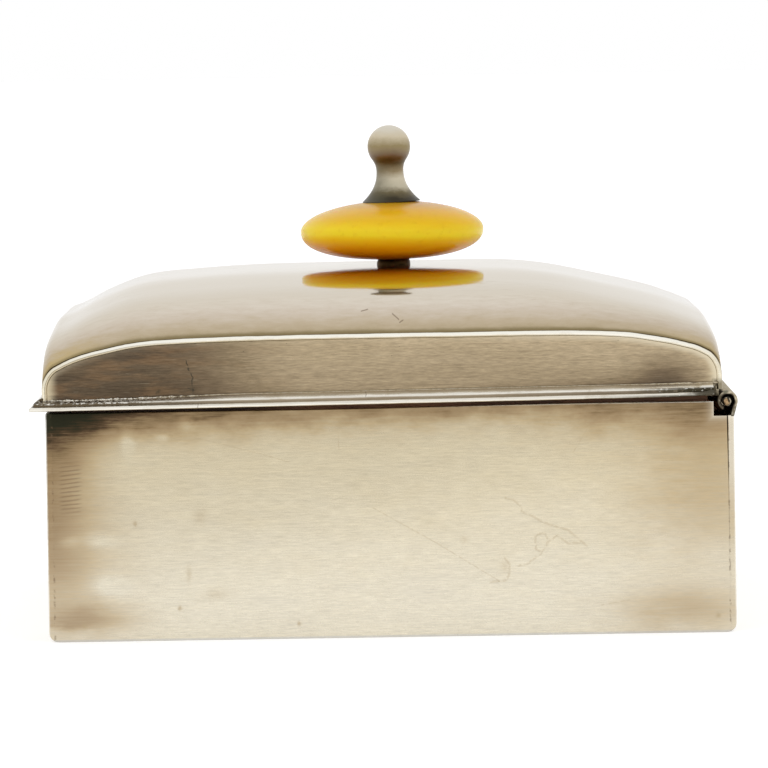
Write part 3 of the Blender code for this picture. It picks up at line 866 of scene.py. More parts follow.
def makeCedar(name, along):  # along: 0 for grain along X, 1 for grain along Y
    finish = Finish(name)
    stretch = [1.0, 1.0, 1.0]
    stretch[along] = 0.045
    place = finish.place(stretch)
    bend = finish.noise(place, 0.35, 3, 0.5)
    rings = finish.noise(place, cedarFinish["ringsPerBoard"], 2, 0.5, 1.6)
    late = (rings * 7 + bend * 2).fract().within(0.35, 0.95, 0.95, 1.0)
    pores = finish.noise(place, 6.0, 3, 0.6)
    finish.colour = finish.blend(late, cedarFinish["early"], cedarFinish["late"])
    finish.over((0.5 - pores).band(0.02, 0.25) * 0.5, (0.1, 0.032, 0.014))
    age = finish.noise(finish.place(), 0.06, 3, 0.5)
    finish.over(age.band(0.35, 0.75) * 0.35, (0.46, 0.24, 0.12))
    x, y, z = finish.split(finish.place())
    outside = abs(x).band(endX - 1.7, endX - 1.2).most(abs(y).band(sideY - 1.7, sideY - 1.2))
    outside = outside * z.band(topZ - 3, topZ - 0.5)  # the strip that shows in the gap under the lid, painted near-black as the shadow in the gap
    lit = y.band(-22.0, -8.0) * (1 - y.band(4.0, 14.0) * 0.5)
    # painted shadow in the gap under the lid, less dark where light reaches in
    finish.over(outside * (0.92 - lit * 0.45), (0.03, 0.016, 0.009))
    return finish.surface(0.62 + pores * 0.16, pores - late * 0.8, 0.03 * mm, 0.0)


amberFinish = {
    # colour by height, with a painted reflection: bright yellow just below the widest line, and painted
    # shade in deeper orange towards the top and bottom
    "stops": [
        (0.02, (0.62, 0.17, 0.0)),
        (0.2, (0.8, 0.33, 0.0)),
        (0.34, (0.86, 0.5, 0.003)),
        (0.43, (0.88, 0.66, 0.02)),
        (0.52, (0.86, 0.64, 0.024)),
        (0.66, (0.76, 0.47, 0.006)),
        (0.84, (0.7, 0.37, 0.004)),
        (0.97, (0.5, 0.22, 0.006)),
    ],
    "gleam": 0.12,
    "depth": 0.5,
    "reach": (5.0 * mm, 2.4 * mm, 0.3 * mm),  # how far red, green and blue light goes inside
}


def makeAmber():
    finish = Finish("amber_resin")
    low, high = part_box("knob_disc")
    middle = (low.z + high.z) / 2 / mm
    y, z = finish.split(finish.place())[1:]
    lift = (z + y * 0.026 - middle) / ((high.z - low.z) / mm) + 0.5
    swirls = finish.noise(finish.place((1, 1, 2.2)), 0.1, 3, 0.5, 0.8) - 0.5
    motes = finish.noise(finish.place(), 1.2, 3, 0.5) - 0.5
    # painted reflection and shade, by height on the disc
    finish.colour = finish.ramp(lift + swirls * 0.08, amberFinish["stops"])
    finish.over(swirls.band(0.0, 0.25) * 0.3, (0.8, 0.5, 0.012))
    finish.over(motes.band(0.05, 0.25) * 0.12, (0.45, 0.15, 0.0))
    finish.set(SubsurfaceWeight=amberFinish["depth"], SubsurfaceRadius=amberFinish["reach"])
    finish.set(SubsurfaceScale=1.0)
    finish.plug(finish.shader.inputs["Specular IOR Level"], amberFinish["gleam"])
    return finish.surface(0.24 + swirls * 0.16, swirls * 0.6 + motes * 0.1, 0.05 * mm, 0.0)


# colour by height, foot to top: painted light leaves the ball pale on top and darker below, and the dark
# waist and foot are grime with painted shade
finialStops = [
    (0.0, (0.05, 0.042, 0.028)),
    (0.09, (0.16, 0.13, 0.072)),
    (0.17, (0.5, 0.45, 0.335)),
    (0.27, (0.56, 0.5, 0.375)),
    (0.38, (0.265, 0.205, 0.118)),
    (0.49, (0.115, 0.083, 0.043)),
    (0.59, (0.215, 0.16, 0.115)),
    (0.72, (0.285, 0.225, 0.115)),
    (0.84, (0.6, 0.52, 0.375)),
    (0.95, (0.66, 0.615, 0.52)),
]


def makeFinialSilver():
    finish = Finish("finial_silver")
    low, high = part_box("knob_finial")
    y, z = finish.split(finish.place())[1:]
    share = (z - low.z / mm) / ((high.z - low.z) / mm)
    smoke = finish.noise(finish.place(), 0.45, 5, 0.6) - 0.5
    fine = finish.noise(finish.place((1, 1, 3)), 1.6, 4, 0.6) - 0.5
    # painted light and shade by height
    finish.colour = finish.ramp(share + smoke * 0.1 + fine * 0.04, finialStops)
    shaded = (y - 0.2 + smoke * 2).band(1.6, -2.6) * share.band(0.5, 0.4)
    finish.over(shaded * 0.72, (0.1, 0.092, 0.06))
    return finish.surface(0.38 + smoke * 0.16, smoke + fine * 0.3, 0.03 * mm)


def makeDarkBrassAndShade():
    # near-black brass; on the collar it is painted shade with a painted reflection of the resin disc
    finish = Finish("dark_brass")
    patches = finish.noise(finish.place(), 0.8, 5, 0.6)
    finish.colour = finish.ramp(patches, [(0.3, (0.03, 0.017, 0.007)), (0.7, (0.15, 0.085, 0.03))])
    return finish.surface(0.34 + patches * 0.2, patches, 0.02 * mm)


# Lid sizes, in the lid's own square frame

lidSettings = {
    "frontGap": 0.33 * mm,
    "hingeGap": 1.05 * mm,
    "overhang": 0.4 * mm,
    "setback": 0.7 * mm,
    "sheet": 0.8 * mm,
    "sideHeight": 2.73 * mm,
    "endLine": [  # height of the end's outline above the side walls, in mm, front to back
        (-1.0, 2.35), (-0.965, 3.05), (-0.94, 3.6), (-0.91, 4.15), (-0.87, 4.7), (-0.82, 5.2),
        (-0.78, 5.58), (-0.73, 5.95), (-0.67, 6.19), (-0.6, 6.32), (-0.44, 6.46), (-0.2, 6.48), (0.0, 6.44),
        (0.35, 6.33), (0.5, 6.28), (0.59, 6.2), (0.675, 6.03), (0.76, 5.64), (0.82, 5.19), (0.865, 4.78),
        (0.9, 4.38), (0.925, 4.08), (0.945, 3.72), (0.965, 3.25), (1.0, 2.6),
    ],
    "endCorner": 0.035,
    "trimStop": 1.8 * mm,  # how far before the hinge pin the end mouldings stop
    "knobSeat": 13.64 * mm,
    "bead": 0.38 * mm,
    "seam": 0.3 * mm,
}

lidRim = bodyTop + lidSettings["hingeGap"]
lidHalfLength = halfLength + lidSettings["overhang"]
lidFront = -(halfDepth + lidSettings["overhang"])
lidBack = hingeY - lidSettings["setback"]
lidCentre = (lidFront + lidBack) / 2
lidHalfDepth = (lidBack - lidFront) / 2
lidSit = math.atan2(lidSettings["hingeGap"] - lidSettings["frontGap"], hingeY + halfDepth)
sideTop = lidRim + lidSettings["sideHeight"]
backEdge = hingeZ + knuckleRadius + lidSettings["seam"]
beadRadius = lidSettings["bead"]
crest = sideTop + lidSettings["knobSeat"]
hingePoint = Vector((0.0, hingeY, hingeZ))
trimEnd = hingeY - lidSettings["trimStop"]
lidTurn = Matrix.Translation(hingePoint) @ Matrix.Rotation(lidSit, 4, "X") @ Matrix.Translation(-hingePoint)

bodySilver = makeBodySilver()
domeSilver = makeDomeSilver()
panelSilver = makePanelSilver()
trimSilver = makeTrimSilver()
beadSilver = makeBeadSilver()
solderSilver = makeSolderSilver()
hingeSilver = makeHingeSilver()
pinMetal = makePinSilver()
cedarAlongX = makeCedar("cedar_long_boards", 0)
cedarAlongY = makeCedar("cedar_cross_boards", 1)
amberResin = makeAmber()
finialSilver = makeFinialSilver()
darkBrassAndShade = makeDarkBrassAndShade()
print("finishes", len(bpy.data.materials))


def smoothLine(table):  # a line through a table of (place, height) whose bend never jumps
    places = [row[0] for row in table]
    heights = [row[1] for row in table]
    bends = [0.0] * len(table)
    for sweep in range(80):  # enough for the bends to settle
        for i in range(1, len(table) - 1):
            before = places[i] - places[i - 1]
            after = places[i + 1] - places[i]
            turn = (heights[i + 1] - heights[i]) / after - (heights[i] - heights[i - 1]) / before
            pull = before * bends[i - 1] + after * bends[i + 1]
            bends[i] = (6 * turn - pull) / (2 * (before + after))

    def height(place):
        i = max(0, min(len(table) - 2, sum(known <= place for known in places) - 1))
        span = places[i + 1] - places[i]
        t = (place - places[i]) / span
        u = 1 - t
        curve = (u**3 - u) * bends[i] + (t**3 - t) * bends[i + 1]
        return heights[i] * u + heights[i + 1] * t + curve * span**2 / 6

    return height


endLine = smoothLine(lidSettings["endLine"])


def cornerRound(share):  # 1 over most of the end, down to 0 at the side walls
    turn = max(0.0, abs(share) - 1 + lidSettings["endCorner"]) / lidSettings["endCorner"]
    return math.sqrt(max(0.0, 1 - turn * turn))


def endArch(share):  # height of the lid's end above its side walls
    return endLine(share) * mm * cornerRound(share)


def ease(value, low, high):  # 0 at low, 1 at high, smooth between them
    t = max(0.0, min(1.0, (value - low) / (high - low)))
    return t * t * (3 - 2 * t)


def crowd(share, power):  # shares from -1 to 1, drawn closer together towards both ends
    turn = (1 - abs(share)) * math.pi / 2
    return math.copysign(math.cos(turn) ** power, share)


# Dome: one pressed sheet with the lid's front and back walls

domeSettings = {
    "swell": [  # how far the middle section stands above the end section, in mm, front to back
        (-1.0, 5.6), (-0.94, 4.92), (-0.88, 5.28), (-0.8, 5.96), (-0.7, 6.4), (-0.6, 6.54), (-0.45, 6.76),
        (-0.2, 6.9), (0.0, 6.92), (0.2, 6.92), (0.4, 6.82), (0.55, 6.06), (0.68, 4.98), (0.8, 4.36),
        (0.88, 4.02), (0.94, 3.78), (1.0, 4.15),
    ],
    "along": [  # share of that height left at each share of the half length
        (-0.2, 0.998), (0.0, 1.0), (0.2, 0.998), (0.35, 0.983), (0.5, 0.92), (0.6, 0.862), (0.7, 0.8),
        (0.8, 0.71), (0.88, 0.585), (0.94, 0.434), (1.0, 0.27),
    ],
    "endPower": 24,
    "sideRise": 400,  # how steeply the swell sets in at the side walls
    "stations": 170,
    "columns": 150,
    "alongCrowding": 1.0,
    "acrossCrowding": 0.8,
    "underBead": 0.25 * mm,
    "wallCuts": 4,
    "unevenness": 0.05 * mm,
    "unevenScale": 45.0,
    "calmHeight": 6 * mm,  # the walls and the dome's foot are even
}
domeHalfLength = lidHalfLength - beadRadius - domeSettings["underBead"]


def makeDome():
    size = domeSettings
    bm = bmesh.new()
    counts = {"x_segments": size["stations"], "y_segments": size["columns"]}
    bmesh.ops.create_grid(bm, size=1.0, **counts)
    steep = bm.verts.layers.float.new("steep")
    swellLine = smoothLine(size["swell"])
    alongLine = smoothLine(size["along"])
    for vert in bm.verts:
        x = crowd(vert.co.x, size["alongCrowding"]) * domeHalfLength
        across = crowd(vert.co.y, size["acrossCrowding"])
        y = lidCentre + across * lidHalfDepth
        share = min(1.0, abs(x) / domeHalfLength)
        along = alongLine(share) * math.sqrt(1 - share ** size["endPower"])
        swell = swellLine(across) * mm * min(1.0, (1 - abs(across)) * size["sideRise"])
        height = sideTop + endArch(across) + along * swell
        vert[steep] = 1 - along
        calm = min(1.0, (height - sideTop) / size["calmHeight"]) * along
        uneven = wobble(Vector((x, y, height)), size["unevenScale"], 3.1) * calm
        vert.co = (x, y, height + uneven * size["unevenness"])
    for side, foot in ((-1, lidRim), (1, backEdge)):
        edgeY = lidCentre + side * lidHalfDepth
        rim = [e for e in bm.edges if e.is_boundary]
        edges = [e for e in rim if all(abs(v.co.y - edgeY) < weld for v in e.verts)]
        drop = (foot - sideTop - endArch(side)) / size["wallCuts"]
        for i in range(size["wallCuts"]):
            edges = pulled(bm, edges, Matrix.Translation((0.0, 0.0, drop)))
    bmesh.ops.recalc_face_normals(bm, faces=bm.faces)
    middle = min(bm.faces, key=lambda face: (face.calc_center_median() - Vector((0, 0, crest))).length)
    if middle.normal.z < 0:
        bmesh.ops.reverse_faces(bm, faces=bm.faces)
    bmesh.ops.solidify(bm, geom=bm.faces[:], thickness=lidSettings["sheet"])
    addPiece("dome_sheet", bm, domeSilver, "lid", ["lid_dome"], 50, lidTurn)


def archLine(inset, frontFoot, backFoot, halfSteps):  # the end's outline, drawn in, with straight legs
    half = lidHalfDepth - inset
    points = [(lidCentre - half, frontFoot)]
    for i in range(-halfSteps, halfSteps + 1):
        across = crowd(i / halfSteps, 1.0) if i else 0.0
        lift = endArch(across) - inset * cornerRound(across)
        points.append((lidCentre + across * half, sideTop + lift))
    points.append((lidCentre + half, backFoot))
    return points


beadSettings = {
    "sides": 14,
    "archSteps": 80,
    "legSteps": 6,
    "uneven": 0.03 * mm,
    "unevenScale": 300,
}


def pathFrames(points, x):  # a square frame at each (y, z) point of a path, for a section in its XY plane
    frames = []
    side = Vector((1.0, 0.0, 0.0))
    for i, (y, z) in enumerate(points):
        before = points[max(0, i - 1)]
        after = points[min(len(points) - 1, i + 1)]
        tangent = Vector((0.0, after[0] - before[0], after[1] - before[1])).normalized()
        turned = Matrix((side, tangent.cross(side), tangent)).transposed()
        frames.append(Matrix.Translation((x, y, z)) @ turned.to_4x4())
    return frames


def splitLeg(points, steps):  # extra points along the first and last straight legs
    start, second = points[0], points[1]
    end, before = points[-1], points[-2]
    leg = [(start[0], start[1] + (second[1] - start[1]) * i / steps) for i in range(steps)]
    tail = [(end[0], before[1] + (end[1] - before[1]) * i / steps) for i in range(1, steps + 1)]
    return leg + points[1:-1] + tail


def makeBeads():
    size = beadSettings
    line = splitLeg(archLine(beadRadius, lidRim, backEdge, size["archSteps"]), size["legSteps"])
    for name, sign in bothEnds:
        bm = bmesh.new()
        bmesh.ops.create_circle(bm, cap_ends=False, segments=size["sides"], radius=beadRadius)
        under = bm.verts.layers.float.new("under")
        for vert in bm.verts:
            vert[under] = 0.5 + 0.5 * vert.co.y / beadRadius
        frames = pathFrames(line, sign * (lidHalfLength - beadRadius))
        first = edges = bm.edges[:]
        bmesh.ops.transform(bm, matrix=frames[0], verts=bm.verts)
        for before, after in zip(frames, frames[1:]):
            edges = pulled(bm, edges, after @ before.inverted())
        closed(bm, first, edges)
        for vert in bm.verts:
            vert.co.y += wobble(vert.co, size["unevenScale"], 5) * size["uneven"]
            vert.co.z += wobble(vert.co, size["unevenScale"], 9) * size["uneven"]
        addPiece("bead_" + name, bm, beadSilver, "lid", ["lid_bead_" + name], 50, lidTurn)


panelSettings = {
    "face": 0.1 * mm,  # how far the rim stands back from the bead's outermost line
    "underBead": 1.2,  # the outline lies this many bead radii inside the lid's
    "archSteps": 80,
    "filletWidth": 1.7 * mm,
    "filletDepth": 0.22 * mm,
    "filletSteps": 6,
    "thickness": 0.8 * mm,
}


def makeLidPanels():
    size = panelSettings
    steps = size["filletSteps"]
    depths = [1 - math.sqrt(1 - (1 - i / steps) ** 2) for i in range(steps + 1)]
    outline = archLine(beadRadius * size["underBead"], lidRim, lidRim, size["archSteps"])
    for name, sign in bothEnds:
        bm = bmesh.new()
        rim = bm.verts.layers.float.new("rim")
        edges = startRing(bm, [(lidHalfLength - size["face"], y, z) for y, z in outline])
        closed(bm, edges)
        face = bm.faces[:][0]
        if face.normal.x < 0:
            bmesh.ops.reverse_faces(bm, faces=[face])
        for vert in bm.verts:
            vert[rim] = 1.0
        for i in range(steps):
            drop = (depths[i] - depths[i + 1]) * size["filletDepth"]
            rise = {"thickness": size["filletWidth"] / steps, "depth": -drop}
            bmesh.ops.inset_region(bm, faces=[face], use_boundary=True, use_even_offset=True, **rise)
            for vert in face.verts:
                vert[rim] = 1 - (i + 1) / steps
        back = [e for e in bm.edges if e.is_boundary]
        closed(bm, pulled(bm, back, Matrix.Translation((-size["thickness"], 0.0, 0.0))))
        bmesh.ops.scale(bm, vec=(sign, 1, 1), verts=bm.verts)
        node = "lid_end_panel_" + name
        addPiece("lid_panel_" + name, bm, panelSilver, "lid", [node], 40, lidTurn)


# Rim moulding: a round nose, a dark cove and a sloping band

mouldingSettings = {
    "profile": [  # reach and height of each point, in mm from the foot of the lid's wall, and its share of painted shade with tarnish
        (-0.1, 0.0, 0.8), (1.38, 0.0, 0.4), (1.53, 0.03, 0.2), (1.62, 0.1, 0.05), (1.66, 0.2, 0.0),
        (1.655, 0.31, 0.0), (1.61, 0.42, 0.0), (1.53, 0.5, 0.0), (1.42, 0.55, 0.05), (1.29, 0.585, 0.5),
        (1.15, 0.66, 0.95), (1.07, 0.78, 0.9), (1.04, 0.9, 0.6), (1.05, 0.97, 0.25), (1.03, 1.05, 0.04),
        (0.96, 1.12, 0.05), (0.91, 1.16, 0.34), (0.87, 1.2, 0.08), (0.62, 1.38, 0.02), (0.42, 1.52, 0.06),
        (0.2, 1.64, 0.3), (0.05, 1.7, 0.6), (-0.1, 1.7, 0.9),
    ],
    "bandFoot": 1.0 * mm,
    "bandTop": 1.7 * mm,
    "bandFade": (-18 * mm, -40 * mm, 0.55),  # the band grows lower towards the front corner
    "cuts": 170,
    "longEdge": 10 * mm,  # edges longer than this run along the moulding and are cut
    "rough": 0.03 * mm,
    "raggedLength": 7.0 * mm,
    "raggedDepth": 0.2 * mm,
    "mitreGap": 0.02 * mm,
}


def bandShare(y):  # how much of the band's height is left at a place along the end
    start, end, loss = mouldingSettings["bandFade"]
    return 1 - loss * ease(-y, -start, -end)


def roughen(bm, amount):  # worn, hand-filed metal
    for vert in bm.verts:
        push = Vector((wobble(vert.co, 700, 1), wobble(vert.co, 700, 7), wobble(vert.co, 900, 13)))
        broad = wobble(vert.co, 90, 21)
        vert.co += push * amount * 0.7 + Vector((0.0, 0.0, broad * amount * 0.6))


def startMoulding(place):  # the profile as a ring, each point where place puts it
    rows = mouldingSettings["profile"]
    bm = bmesh.new()
    # the profile's third column: each point's share of painted shade with tarnish
    dirt = bm.verts.layers.float.new("dirt")
    edges = startRing(bm, [place(reach * mm, height * mm) for reach, height, grime in rows])
    for vert, row in zip(bm.verts, rows):
        vert[dirt] = row[2]
    return bm, edges


def wearEnd(bm):  # a lower band towards the front, and torn, solder-clogged metal beside the hinge
    size = mouldingSettings
    bandFoot = lidRim + size["bandFoot"]
    for vert in bm.verts:
        if vert.co.z > bandFoot:
            vert.co.z = bandFoot + (vert.co.z - bandFoot) * bandShare(vert.co.y)
        share = (vert.co.y - trimEnd + size["raggedLength"]) / size["raggedLength"]
        if share > 0:
            torn = wobble(vert.co, 1300, 31) + 0.6 * wobble(vert.co, 3000, 5)
            tear = share**2 * size["raggedDepth"]
            vert.co.z += tear * (0.7 + torn)
            vert.co.x -= math.copysign(1.0, vert.co.x) * tear * (1.2 + torn)


def finishMoulding(bm, first, last, name, node, axis):  # axis: 0 where it runs along X, 1 along Y
    closed(bm, first, last)
    bmesh.ops.recalc_face_normals(bm, faces=bm.faces)
    long = mouldingSettings["longEdge"]
    runs = [e for e in bm.edges if abs((e.verts[0].co - e.verts[1].co)[axis]) > long]
    bmesh.ops.subdivide_edges(bm, edges=runs, cuts=mouldingSettings["cuts"], use_grid_fill=True)
    roughen(bm, mouldingSettings["rough"])
    if axis == 1:
        wearEnd(bm)
    addPiece(name, bm, trimSilver, "lid", [node], 45, lidTurn)


def makeMouldings():
    gap = mouldingSettings["mitreGap"]
    bm, first = startMoulding(lambda u, v: (-(lidHalfLength + u - gap), lidFront - u, lidRim + v))
    last = pulled(bm, first, Matrix.Diagonal((-1.0, 1.0, 1.0, 1.0)))  # to the far corner's mitre
    finishMoulding(bm, first, last, "moulding_front_rim", "moulding_front", 0)
    flat = Matrix.Translation((0.0, trimEnd, 0.0)) @ Matrix.Diagonal((1.0, 0.0, 1.0, 1.0))  # cut square
    for name, sign in bothEnds:
        bm, first = startMoulding(lambda u, v: (sign * (lidHalfLength + u), lidFront - u + gap, lidRim + v))
        last = pulled(bm, first, flat)
        finishMoulding(bm, first, last, "moulding_rim_" + name, "moulding_end_" + name, 1)


solderSettings = {
    "radius": 0.12 * mm,
    "lump": 0.2 * mm,
    "proud": 0.12 * mm,  # how far its middle lies outside the lid's end
    "startGap": 0.3 * mm,
    "endRun": 0.5 * mm,
    "frontLumps": (18 * mm, 36 * mm),
    "backLumps": (30 * mm, 42 * mm),
    "steps": 300,
    "sides": 8,
}


def makeSolder():  # the rough line that joins each end moulding to its panel
    size = solderSettings
    start = lidFront + size["startGap"]
    step = (trimEnd + size["endRun"] - start) / size["steps"]
    bandFoot = lidRim + mouldingSettings["bandFoot"]
    bandHeight = mouldingSettings["bandTop"] - mouldingSettings["bandFoot"]
    for name, sign in bothEnds:
        bm = bmesh.new()
        bmesh.ops.create_circle(bm, cap_ends=False, segments=size["sides"], radius=size["radius"])
        middle = sign * (lidHalfLength + size["proud"])
        place = Matrix.Translation((middle, start, 0.0)) @ Matrix.Rotation(math.pi / 2, 4, "X")
        bmesh.ops.transform(bm, matrix=place, verts=bm.verts)
        first = edges = bm.edges[:]
        for i in range(size["steps"]):
            edges = pulled(bm, edges, Matrix.Translation((0.0, step, 0.0)))
        closed(bm, first, edges)
        for vert in bm.verts:
            y = vert.co.y
            away = Vector((vert.co.x - middle, 0.0, vert.co.z))
            lumpy = wobble(vert.co, 1500, 17 + sign) + 0.7 * wobble(vert.co, 3600, 3)
            strength = ease(-y, *size["frontLumps"]) + ease(y, *size["backLumps"]) * 0.6
            vert.co += away.normalized() * size["lump"] * lumpy * strength
            vert.co -= away * (1 - min(1.0, strength)) * 0.55
            vert.co.z += bandFoot + bandHeight * bandShare(y)
        addPiece("solder_" + name, bm, solderSilver, "lid", [], 50, lidTurn)


# Body: a bent wrapper with two end panels let in flush

def makeWrapper():
    bend = bodySettings["bendRadius"]
    steps = bodySettings["cornerSteps"]
    outer = [(-halfDepth, bodyTop)]
    outer += arcPoints(-halfDepth + bend, bend, bend, 180, 270, steps)
    outer += arcPoints(halfDepth - bend, bend, bend, 270, 360, steps)
    outer += [(halfDepth, backWallTop), (halfDepth - sheet, backWallTop)]
    inner = arcPoints(halfDepth - bend, bend, bend - sheet, 360, 270, steps)
    inner += arcPoints(-halfDepth + bend, bend, bend - sheet, 270, 180, steps)
    inner += [(-halfDepth + sheet, bodyTop)]
    bm = solidAlongX(outer + inner, -halfLength, halfLength)
    edges = []
    for edge in bm.edges:
        low, high = [vert.co for vert in edge.verts]
        atEnd = abs(low.x) > halfLength - weld and abs(low.x - high.x) < weld
        onTop = min(low.z, high.z) > bodyTop - weld
        outside = onOutside(low, bend) and onOutside(high, bend)
        if (atEnd and outside) or (onTop and not atEnd):
            edges.append(edge)
    bevelled(bm, edges, bodySettings["edgeRound"])
    addPiece("body_sheet", bm, bodySilver, "box", ["body_wrapper"], 40)


def onOutside(place, bend):  # whether a place lies on the wrapper's outer face
    if place.z > bend:
        return abs(abs(place.y) - halfDepth) < weld
    if abs(place.y) < halfDepth - bend:
        return place.z < weld
    fromBend = math.hypot(abs(place.y) - (halfDepth - bend), place.z - bend)
    return fromBend > bend - 0.1 * mm


def makeEndPanels():
    size = bodySettings
    edge = halfDepth - sheet
    corner = size["bendRadius"] - sheet
    outline = arcPoints(-edge + corner, sheet + corner, corner, 180, 270, size["cornerSteps"])
    outline += arcPoints(edge - corner, sheet + corner, corner, 270, 360, size["cornerSteps"])
    foot = size["openSeamFoot"]
    for i in range(1, size["sideSteps"] + 1):
        share = i / size["sideSteps"]
        y = edge - size["openSeam"] * share ** size["openSeamPower"]
        outline.append((y, foot + (backWallTop - foot) * share))
    start, end, rise = size["endRise"]
    outline += [(notchY, backWallTop), (notchY, bodyTop + rise)]
    for i in range(size["sideSteps"] + 1):
        y = end + (start - end) * i / size["sideSteps"]
        outline.append((y, bodyTop + rise * ease(y, start, end)))
    outline.append((-edge, bodyTop))
    for name, sign in bothEnds:
        bm = solidAlongX(outline, halfLength - sheet, halfLength)
        edges = []
        for e in bm.edges:
            low, high = [vert.co for vert in e.verts]
            face = min(low.x, high.x) > halfLength - weld
            onTop = min(low.z, high.z) > bodyTop - weld
            step = min(low.z, high.z) > backWallTop - weld and min(low.y, high.y) > notchY - weld
            if (face and step) or (onTop and abs(low.x - high.x) < weld):
                edges.append(e)
        bevelled(bm, edges, size["edgeRound"])
        bmesh.ops.scale(bm, vec=(sign, 1, 1), verts=bm.verts)
        addPiece("end_panel_" + name, bm, bodySilver, "box", ["body_end_panel_" + name], 40)


# Cedar lining: thin boards with rounded top edges

liningSettings = {
    "round": 0.35 * mm,
    "boards": {
        "lining_floor": ("cedar_floor", 0),
        "lining_front": ("cedar_front", 0),
        "lining_back": ("cedar_back", 0),
        "lining_end_left": ("cedar_end_left", 1),
        "lining_end_right": ("cedar_end_right", 1),
        "lining_divider": ("cedar_divider", 1),
    },
}


def makeLining():
    for node, (name, along) in liningSettings["boards"].items():
        low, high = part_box(node)
        outline = [(low.y, low.z), (high.y, low.z), (high.y, high.z), (low.y, high.z)]
        bm = solidAlongX(outline, low.x, high.x)
        top = [e for e in bm.edges if all(v.co.z > high.z - weld for v in e.verts)]
        bevelled(bm, top, min(liningSettings["round"], (high.z - low.z) / 3), 4)
        finish = cedarAlongX if along == 0 else cedarAlongY
        addPiece(name, bm, finish, "box", [node], 40)


# Hinge: sheet curled round the pin, in five knuckles

hingeSettings = {
    "curl": 0.42 * mm,
    "bodyArc": (-20, 238, -40),
    "lidArc": (160, 450),
    "arcSteps": 28,
    "lidFootDepth": 0.4 * mm,
    "footSink": 0.1 * mm,  # the feet start this far inside the walls that carry them
    "boreRoom": 0.12 * mm,  # the bore's painted shade lies within this of the bore
    "uneven": 0.04 * mm,
    "unevenScale": 380,
    "cuts": 24,
    "pinRound": 0.25 * mm,
    "pinCrown": 0.12 * mm,  # how far the middle of the pin's end stands out
}


def curlOutline(onLid):  # (y, z) points of one knuckle's section, outer face first
    size = hingeSettings
    sink = size["footSink"]
    if onLid:
        innerFace = lidBack - lidSettings["sheet"]
        outline = arcPoints(hingeY, hingeZ, knuckleRadius, *size["lidArc"], size["arcSteps"])
        outline += [(lidBack, backEdge + 2 * sink), (innerFace, backEdge + sink)]
        return outline + [(innerFace, backEdge - size["lidFootDepth"])]
    start, end, innerEnd = size["bodyArc"]
    outline = [(halfDepth, backWallTop - sink)]
    outline += arcPoints(hingeY, hingeZ, knuckleRadius, start, end, size["arcSteps"])
    outline += arcPoints(hingeY, hingeZ, knuckleRadius - size["curl"], end, innerEnd, size["arcSteps"])
    return outline + [(halfDepth - size["curl"], backWallTop - sink)]


def makeKnuckles():
    size = hingeSettings
    innerRadius = knuckleRadius - size["curl"]
    for node in sorted(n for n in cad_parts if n.startswith("hinge_knuckle")):
        onLid = "_lid_" in node
        low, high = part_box(node)
        bm = solidAlongX(curlOutline(onLid), low.x, high.x, size["cuts"])
        # painted shade: the bore's surface is marked to be darkened
        dirt = bm.verts.layers.float.new("dirt")
        for vert in bm.verts:
            fromAxis = Vector((0.0, vert.co.y - hingeY, vert.co.z - hingeZ))
            vert[dirt] = 1.0 if fromAxis.length < innerRadius + size["boreRoom"] else 0.0
            if fromAxis.length > innerRadius + 0.1 * mm and abs(vert.co.x) < halfLength - 0.1 * mm:
                push = wobble(vert.co, size["unevenScale"], 3) * size["uneven"]
                vert.co += fromAxis.normalized() * min(0.0, push)
        name = node.replace("hinge_knuckle", "barrel")
        body, turned = ("lid", lidTurn) if onLid else ("box", None)
        addPiece(name, bm, hingeSilver, body, [node], 40, turned)


def makePin():
    crown = hingeSettings["pinCrown"]
    edge = hingeSettings["pinRound"]
    end = pinHigh.x
    half = [(0.0, end + crown), (pinRadius * 0.55, end + crown * 2 / 3)]
    half += [(pinRadius - edge * 0.3, end - edge * 0.4), (pinRadius, end - edge)]
    profile = [(radius, -height) for radius, height in half] + half[::-1]
    alongX = Matrix.Translation(hingePoint) @ Matrix.Rotation(math.pi / 2, 4, "Y")
    pin = turnedSolid(profile, 32)
    addPiece("pivot_pin", pin, pinMetal, "box", ["hinge_pin"], 40, alongX)


# Knob: collar, resin disc, turned finial, and the fastening under the dome

knobSettings = {
    "offset": 1.0 * mm,
    "domeRise": -0.28 * mm,  # height of the dome's top above the seat
    "lean": 1.28,
    "discLean": -1.15,  # the disc sits straighter than the finial
    "finialShift": 0.08 * mm,
    "seam": 0.3 * mm,
    "discRadius": 12.63 * mm,
    "discHalfHeight": 4.05 * mm,
    "discPower": (2.35, 1.98),  # roundness below and above its widest line; 2 is an ellipse
    "discCentre": 4.5 * mm,
    "collarRadius": 2.3 * mm,
    "collarHeight": 1.35 * mm,
    "ballRadius": 2.95 * mm,
    "ballCentre": 16.05 * mm,
    "waistRadius": 1.87 * mm,
    "waistHeight": 12.75 * mm,
    "skirtRadius": 3.95 * mm,
    "flarePower": 2.3,
    "finialSink": 0.15 * mm,
    "skirtFoot": 0.15 * mm,
    "ballEnd": 127,  # degrees down from the top, where the ball runs into the neck
    "collarFoot": -0.9 * mm,
    "collarStart": 0.1 * mm,
    "studRadius": 1.0 * mm,
    "studTail": 0.7 * mm,
    "washerRadius": 3.5 * mm,
    "washerThickness": 0.6 * mm,
    "washerRound": 0.1 * mm,
    "boreRoom": 0.05 * mm,
    "nutFlats": 4.6 * mm,
    "nutHeight": 1.8 * mm,
    "nutRound": 0.18 * mm,
    "threadPitch": 0.35 * mm,
    "discSteps": 56,
    "ballSteps": 28,
    "neckSteps": 12,
    "skirtSteps": 20,
    "steps": 96,
}
knobTurn = (
    lidTurn
    @ Matrix.Translation((0.0, knobSettings["offset"], crest))
    @ Matrix.Rotation(math.radians(knobSettings["lean"]), 4, "X")
)


